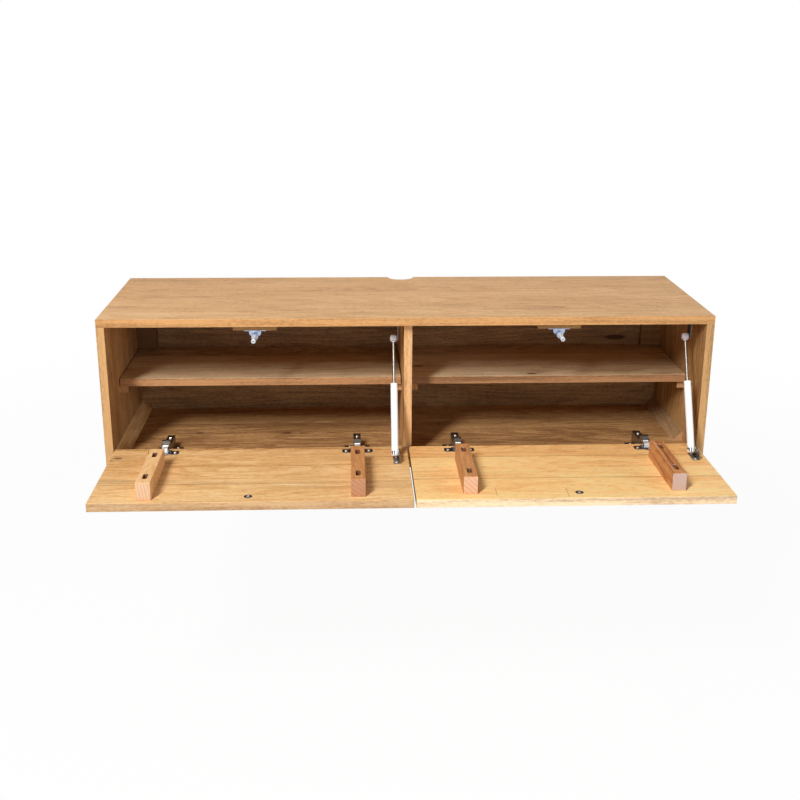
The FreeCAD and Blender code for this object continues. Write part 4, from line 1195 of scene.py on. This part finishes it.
@dataclass
class Screws(SubAssembly):
    """Pan-head screws with a cross recess, at every place where the nodes have one.

    Attributes:
        head_radius: Radius R of a head, in millimetres.
        shank_radius: Radius of a shank.
        columns: Points round a screw.
        plate, arm, cup: Screws of a hinge.
        strut_head, strut_foot: Screws of a gas strut's brackets.
        latch, strike: Screws of a touch latch and of its strike plate.
        batten: Screws in the slots of a batten, whose middle is each batten's own.
        head_lean, foot_lean: How far the bracket screws stand beside the strut.
    """

    head_radius: float = 3.6
    shank_radius: float = 1.9
    columns: int = 40
    plate: Fixing = Fixing(78.0, 20.0, aside=16.0)
    arm: Fixing = Fixing(78.0, 43.0, head=3.0)
    cup: Fixing = Fixing(-17.0, 46.2, aside=24.0)
    strut_head: Fixing = Fixing(48.0, 311.4, ahead=7.0, hangs=True)
    strut_foot: Fixing = Fixing(-73.75, 46.6, ahead=15.75)
    latch: Fixing = Fixing(41.0, 295.8, aside=17.5, hangs=True)
    strike: Fixing = Fixing(STRIKE_Y, 45.5, head=1.0)
    batten: Fixing = Fixing(0.0, 67.0, ahead=SLOT_SPREAD)
    head_lean: float = 1.1
    foot_lean: float = 2.1

    def screw(self, x: float, y: float, fixing: Fixing) -> np.ndarray:
        """Shape one screw.

        The head is the dome z = h (1 - 0.55 (r/R)^3), from which a cross is sunk: its depth
        is greatest on the axis and fades along both arms, whose width is a fifth of R.

        Args:
            x: Place along the case, mm in case coordinates.
            y: Place behind the front plane.
            fixing: What the screw belongs to.

        Returns:
            A grid of points in metres.
        """
        big, height, dome_rows = self.head_radius, fixing.head, 13
        turn = np.arange(self.columns) * 2.0 * math.pi / self.columns
        radii = np.concatenate([np.linspace(0.0, 1.0, dome_rows) * big * 0.94, [big, big],
                                [self.shank_radius, self.shank_radius, 0.0]])
        dome = height * (1.0 - 0.55 * (radii[:dome_rows] / big) ** 3)
        levels = np.concatenate([dome, [height * 0.32, 0.0], [0.0, -2.4, -3.4]])
        across = radii[:, None] * np.cos(turn)
        along = radii[:, None] * np.sin(turn)
        arm = np.minimum(np.abs(across), np.abs(along)) / (0.20 * big)
        reach = np.hypot(across, along) / (0.66 * big)
        sunk = np.clip(1.25 - arm, 0.0, 1.0) * np.clip(1.0 - reach ** 4, 0.0, 1.0)
        level = np.repeat(levels[:, None], self.columns, axis=1)
        level[:dome_rows] -= sunk[:dome_rows] * height * 0.55
        if fixing.hangs:
            level = -level
        return (case_point(x, y, fixing.seat)
                + np.stack([across, along, level], axis=-1) / 1000.0)

    def piece(self, name: str, spots: Iterable[tuple[float, float, Fixing]], body: str,
              node: str) -> None:
        """Join the screws of one node into a piece.

        Args:
            name: Name of the piece.
            spots: Place along the case, place behind it and fixing of each screw.
            body: The body that the screws ride on.
            node: The node that they replace.
        """
        grids = [self.screw(x, y, fixing) for x, y, fixing in spots]
        made = piece_from_grids(name, grids, sharp=40.0)
        self.paints.dress(made, SCREW_STEEL)
        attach(made, body)
        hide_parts(node)

    def build(self) -> None:
        """Make the screws of the case and of both doors."""
        spots: list[tuple[float, float, Fixing]] = []
        for x, _ in BATTENS.values():
            spots += self.plate.at(x) + self.arm.at(x)
        for x in STRUT_X.values():
            spots += self.strut_head.at(x + self.head_lean)
        for _, sign in SIDES:
            spots += self.latch.at(sign * LATCH_X)
        self.piece("case_cross_screws", spots, "cabinet", "case_screws")
        for side, sign in SIDES:
            spots = self.strike.at(sign * LATCH_X)
            for name in ("inner", "outer"):
                x, middle = BATTENS[f"{side}_{name}_batten"]
                spots += self.cup.at(x) + replace(self.batten, y=middle).at(x)
            spots += self.strut_foot.at(STRUT_X[side] + self.foot_lean)
            self.piece(side + "_door_cross_screws", spots, side + "_door",
                       side + "_door_screws")


@dataclass
class GasStruts(SubAssembly):
    """Gas struts: a painted tube, a polished rod with its piston, and moulded ends.

    Lengths are in millimetres where nothing else is said.

    Attributes:
        foot: Place of the foot's pivot behind the front plane and over the underside.
        head: Place of the head's pivot.
        tube_radius: Radius of the tube.
        rod_radius: Radius of the rod.
        rod_clearance: Gap between the rod and the tube's mouth.
        cap_half: Half widths of the moulded cap, in metres.
        cap_power: Squareness of the cap, as the exponent of its rings.
        foot_slots: Distances of the clip slots from the strut's middle plane.
        foot_slot_z: Height of the slots in the frame, in metres.
    """

    foot: tuple[float, float] = (-60.0, 59.0)
    head: tuple[float, float] = (48.0, 277.0)
    tube_radius: float = 7.5
    rod_radius: float = 3.0
    rod_clearance: float = 0.12
    cap_half: tuple[float, float] = (0.0074, 0.0064)
    cap_power: float = 4.2
    foot_slots: tuple[float, float] = (5.3, 1.5)
    foot_slot_z: float = -0.154

    def axis(self, x: float) -> Axis:
        """Return the line from the foot pivot to the head pivot.

        Args:
            x: Place along the case.

        Returns:
            The strut's axis.
        """
        low = case_point(x, *self.foot)
        high = case_point(x, *self.head)
        return Axis(low, (high - low) / np.linalg.norm(high - low))

    def build(self) -> None:
        """Make both struts and dress their moulded feet and brackets."""
        for side, x in STRUT_X.items():
            axis = self.axis(x)
            self.tube(side, axis)
            self.rod(side, axis)
            self.cap(side, axis)
            # The feet take painted shade in their clip slots.
            slots = tuple(((x - gap) / 1000.0, self.foot_slot_z) for gap in self.foot_slots)
            self.dress({
                side + "_strut_foot": replace(TUBE_WHITE, name=side + "_foot_white",
                                              slots=slots),
                side + "_foot_bracket": ZINC,
                side + "_head_bracket": DARK_ZINC,
            })

    def tube(self, side: str, axis: Axis) -> None:
        """Turn the tube, with a crimped groove and a rolled lip at its open end.

        Args:
            side: Which bay.
            axis: The strut's axis.
        """
        r = self.tube_radius
        bore = self.rod_radius + self.rod_clearance
        profile = rounded([(0.0, 14.0), (r, 14.0), (r, 134.2), (r - 0.55, 135.0),
                           (r - 0.55, 136.4), (r, 137.2), (r, 144.0), (4.4, 144.0),
                           (4.0, 143.2), (bore, 143.2), (bore, 139.0), (r - 1.0, 139.0),
                           (r - 1.0, 19.0), (0.0, 19.0)], radius=1.1)
        made = piece_from_grids(side + "_pressure_tube", [axis.turn(profile, columns=56)])
        self.paints.dress(made, TUBE_WHITE)
        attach(made, side + "_strut_cylinder")
        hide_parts(side + "_strut_cylinder")

    def rod(self, side: str, axis: Axis) -> None:
        """Turn the rod and its piston.

        Args:
            side: Which bay.
            axis: The strut's axis.
        """
        r = self.rod_radius
        profile = rounded([(0.0, 116.0), (6.3, 116.0), (6.3, 119.0), (5.6, 119.4),
                           (5.6, 120.6), (6.3, 121.0), (6.3, 124.0), (r, 124.0),
                           (r, 236.8), (2.4, 237.2), (0.0, 237.2)], radius=0.5,
                          steps=3)
        made = piece_from_grids(side + "_piston_rod", [axis.turn(profile, columns=40)])
        self.paints.dress(made, ROD_STEEL)
        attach(made, side + "_strut_rod")
        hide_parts(side + "_strut_rod")

    def cap(self, side: str, axis: Axis) -> None:
        """Loft the moulded end of the rod: a rounded block with a short neck.

        Args:
            side: Which bay.
            axis: The strut's axis.
        """
        height = np.array([231.4, 231.4, 231.6, 234.0, 234.6, 235.4, 242.0, 245.2, 246.6,
                           247.2, 247.2]) / 1000.0
        share = np.array([0.0, 0.50, 0.56, 0.58, 0.94, 1.0, 1.0, 0.96, 0.84, 0.62, 0.0])
        half_a, half_b = self.cap_half
        grid = axis.loft(share * half_a, share * half_b, height, columns=48,
                         power=self.cap_power)
        made = piece_from_grids(side + "_moulded_cap", [grid])
        self.paints.dress(made, CAP_GREY)
        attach(made, side + "_strut_rod")
        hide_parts(side + "_rod_cap")


@dataclass
class Hinges(SubAssembly):
    """The concealed hinges: cups, arms, links, pins and plates."""

    def build(self) -> None:
        """Give every hinge part its plating."""
        platings = {"arm": ARM_STEEL, "plates": ARM_STEEL, "cup": CUP_STEEL,
                    "links": NICKEL, "pins": NICKEL}
        self.dress({name: platings[name.split("_")[-1]]
                    for name in self.nodes if "hinge" in name})


@dataclass
class TouchLatches(SubAssembly):
    """The touch latches under the top: zinc housings, plungers and springs."""

    def build(self) -> None:
        """Give each part its finish."""
        for side, _ in SIDES:
            self.dress({side + "_latch_housing": LATCH_ZINC,
                        side + "_latch_plunger": PLUNGER_GREY,
                        side + "_latch_spring": SCREW_STEEL})


# ----------------------------------------------------------------------------- studio


@dataclass
class Lamp:
    """A soft lamp with a flat rectangular face.

    Attributes:
        name: Name of the lamp.
        place: Where it stands.
        target: What it points at.
        width: Width of its face.
        height: Height of its face.
        power: Power in watts.
    """

    name: str
    place: tuple[float, float, float]
    target: tuple[float, float, float]
    width: float
    height: float
    power: float

    def hang(self) -> None:
        """Put the lamp into the scene."""
        light = bpy.data.lights.new(self.name, "AREA")
        light.shape = "RECTANGLE"
        light.size = self.width
        light.size_y = self.height
        light.energy = self.power
        lamp = bpy.data.objects.new(self.name, light)
        aim = Vector(self.target) - Vector(self.place)
        lamp.location = self.place
        lamp.rotation_euler = aim.to_track_quat("-Z", "Y").to_euler()
        bpy.context.scene.collection.objects.link(lamp)


@dataclass
class Studio:
    """Camera, lamps, pale world and floor.

    Attributes:
        eye: Place of the camera.
        yaw, pitch, roll: Its turns in radians: right, down, and clockwise.
        frame: Width of the rendered view in pixels.
        focal: Focal length in pixels of that view.
        sensor: Width of the camera's sensor, in millimetres.
        floor_z: Height of the floor.
        floor_reach: Half length of the floor's sides.
        floor_fade: Distances between which the floor fades into the world.
        floor_white: Share of plain white in what is seen of the floor nearby.
        world: Strength of the world's light.
        lamps: The lamps.
    """

    eye: tuple[float, float, float] = (-0.12261, -2.70435, 0.69104)
    yaw: float = 0.0457
    pitch: float = 0.3156
    roll: float = -0.0051
    frame: float = 800.0
    focal: float = 1150.0
    sensor: float = 36.0
    floor_z: float = -0.75
    floor_reach: float = 14.0
    floor_fade: tuple[float, float] = (1.2, 3.2)
    floor_white: float = 0.955
    world: float = 0.08
    lamps: tuple[Lamp, ...] = (
        Lamp("key_lamp", (-1.85, -3.75, 3.20), (0.0, -0.45, -0.1), 0.60, 2.0, 268.0),
        Lamp("top_lamp", (-0.10, -0.35, 3.6), (-0.10, -0.35, -0.1), 1.6, 1.6, 15.0),
        Lamp("front_lamp", (-0.3, -4.6, 0.1), (0.0, -0.4, -0.1), 1.6, 1.6, 8.0),
        Lamp("right_lamp", (4.3, -2.9, 1.0), (0.0, -0.4, -0.1), 1.2, 1.2, 44.0),
    )

    def camera(self) -> None:
        """Stand the camera at the eye, turned by yaw, pitch and roll."""
        lens = bpy.data.cameras.new("studio_camera")
        lens.sensor_width = self.sensor
        lens.lens = self.focal / self.frame * self.sensor
        lens.clip_end = 100.0
        forward = Vector((math.sin(self.yaw) * math.cos(self.pitch),
                          math.cos(self.yaw) * math.cos(self.pitch), -math.sin(self.pitch)))
        right = Vector((math.cos(self.yaw), -math.sin(self.yaw), 0.0))
        upward = right.cross(forward)
        turned = math.cos(self.roll) * right - math.sin(self.roll) * upward
        upward = turned.cross(forward)
        camera = bpy.data.objects.new("studio_camera", lens)
        rotation = Matrix((turned, upward, -forward)).transposed().to_4x4()
        camera.matrix_world = Matrix.Translation(self.eye) @ rotation
        bpy.context.scene.collection.objects.link(camera)
        bpy.context.scene.camera = camera

    def sky(self) -> None:
        """Light the world evenly; it shows white to the camera, in metal and in glass."""
        world = bpy.data.worlds.new("studio_world")
        world.use_nodes = True
        web = Web(world.node_tree)
        strength = self.world + web.seen() * (1.0 - self.world)
        light = web.node("ShaderNodeBackground", None,
                         {"Color": (1.0, 1.0, 1.0, 1.0), "Strength": strength})["Background"]
        web.node("ShaderNodeOutputWorld", None, {"Surface": light})
        bpy.context.scene.world = world

    def floor(self) -> None:
        """Lay a pale floor under the console; far away it fades into the white world."""
        reach, level = self.floor_reach, self.floor_z
        mesh = bpy.data.meshes.new("pale_floor")
        mesh.from_pydata([(-reach, -reach, level), (reach, -reach, level),
                          (reach, reach, level), (-reach, reach, level)], [], [(0, 1, 2, 3)])
        floor = bpy.data.objects.new("pale_floor", mesh)
        material, web = Web.of_material("pale_floor")
        x, y, _ = web.parts(web.node("ShaderNodeTexCoord")["Object"])
        far = (x ** 2.0 + y ** 2.0).root().step(*self.floor_fade)
        white_share = web.seen() * (self.floor_white + far * (1.0 - self.floor_white))
        matt = web.node("ShaderNodeBsdfDiffuse", None, {"Color": (0.92, 0.92, 0.92, 1.0)})
        white = web.node("ShaderNodeEmission", None, {"Color": (1.0, 1.0, 1.0, 1.0)})
        surface = web.node("ShaderNodeMixShader", None,
                           {0: white_share, 1: matt["BSDF"], 2: white["Emission"]})["Shader"]
        web.node("ShaderNodeOutputMaterial", None, {"Surface": surface})
        mesh.materials.append(material)
        bpy.context.scene.collection.objects.link(floor)

    def build(self) -> None:
        """Set up the whole studio."""
        self.camera()
        self.sky()
        self.floor()
        for lamp in self.lamps:
            lamp.hang()
        bpy.context.scene.view_settings.view_transform = "Standard"
        LOG.info("studio: camera, world, floor and %d lamps", len(self.lamps))


def main() -> None:
    """Load the frame, then build and dress the console in its order of assembly."""
    logging.basicConfig(level=logging.INFO, format="%(name)s: %(message)s")
    frame: dict[str, Any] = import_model()
    Studio().build()
    paints = Paints()
    for part in (Case, Shelves, Doors, Hinges, GasStruts, TouchLatches, Screws):
        part(paints, frame["nodes"]).build()


if __name__ == "__main__":
    main()
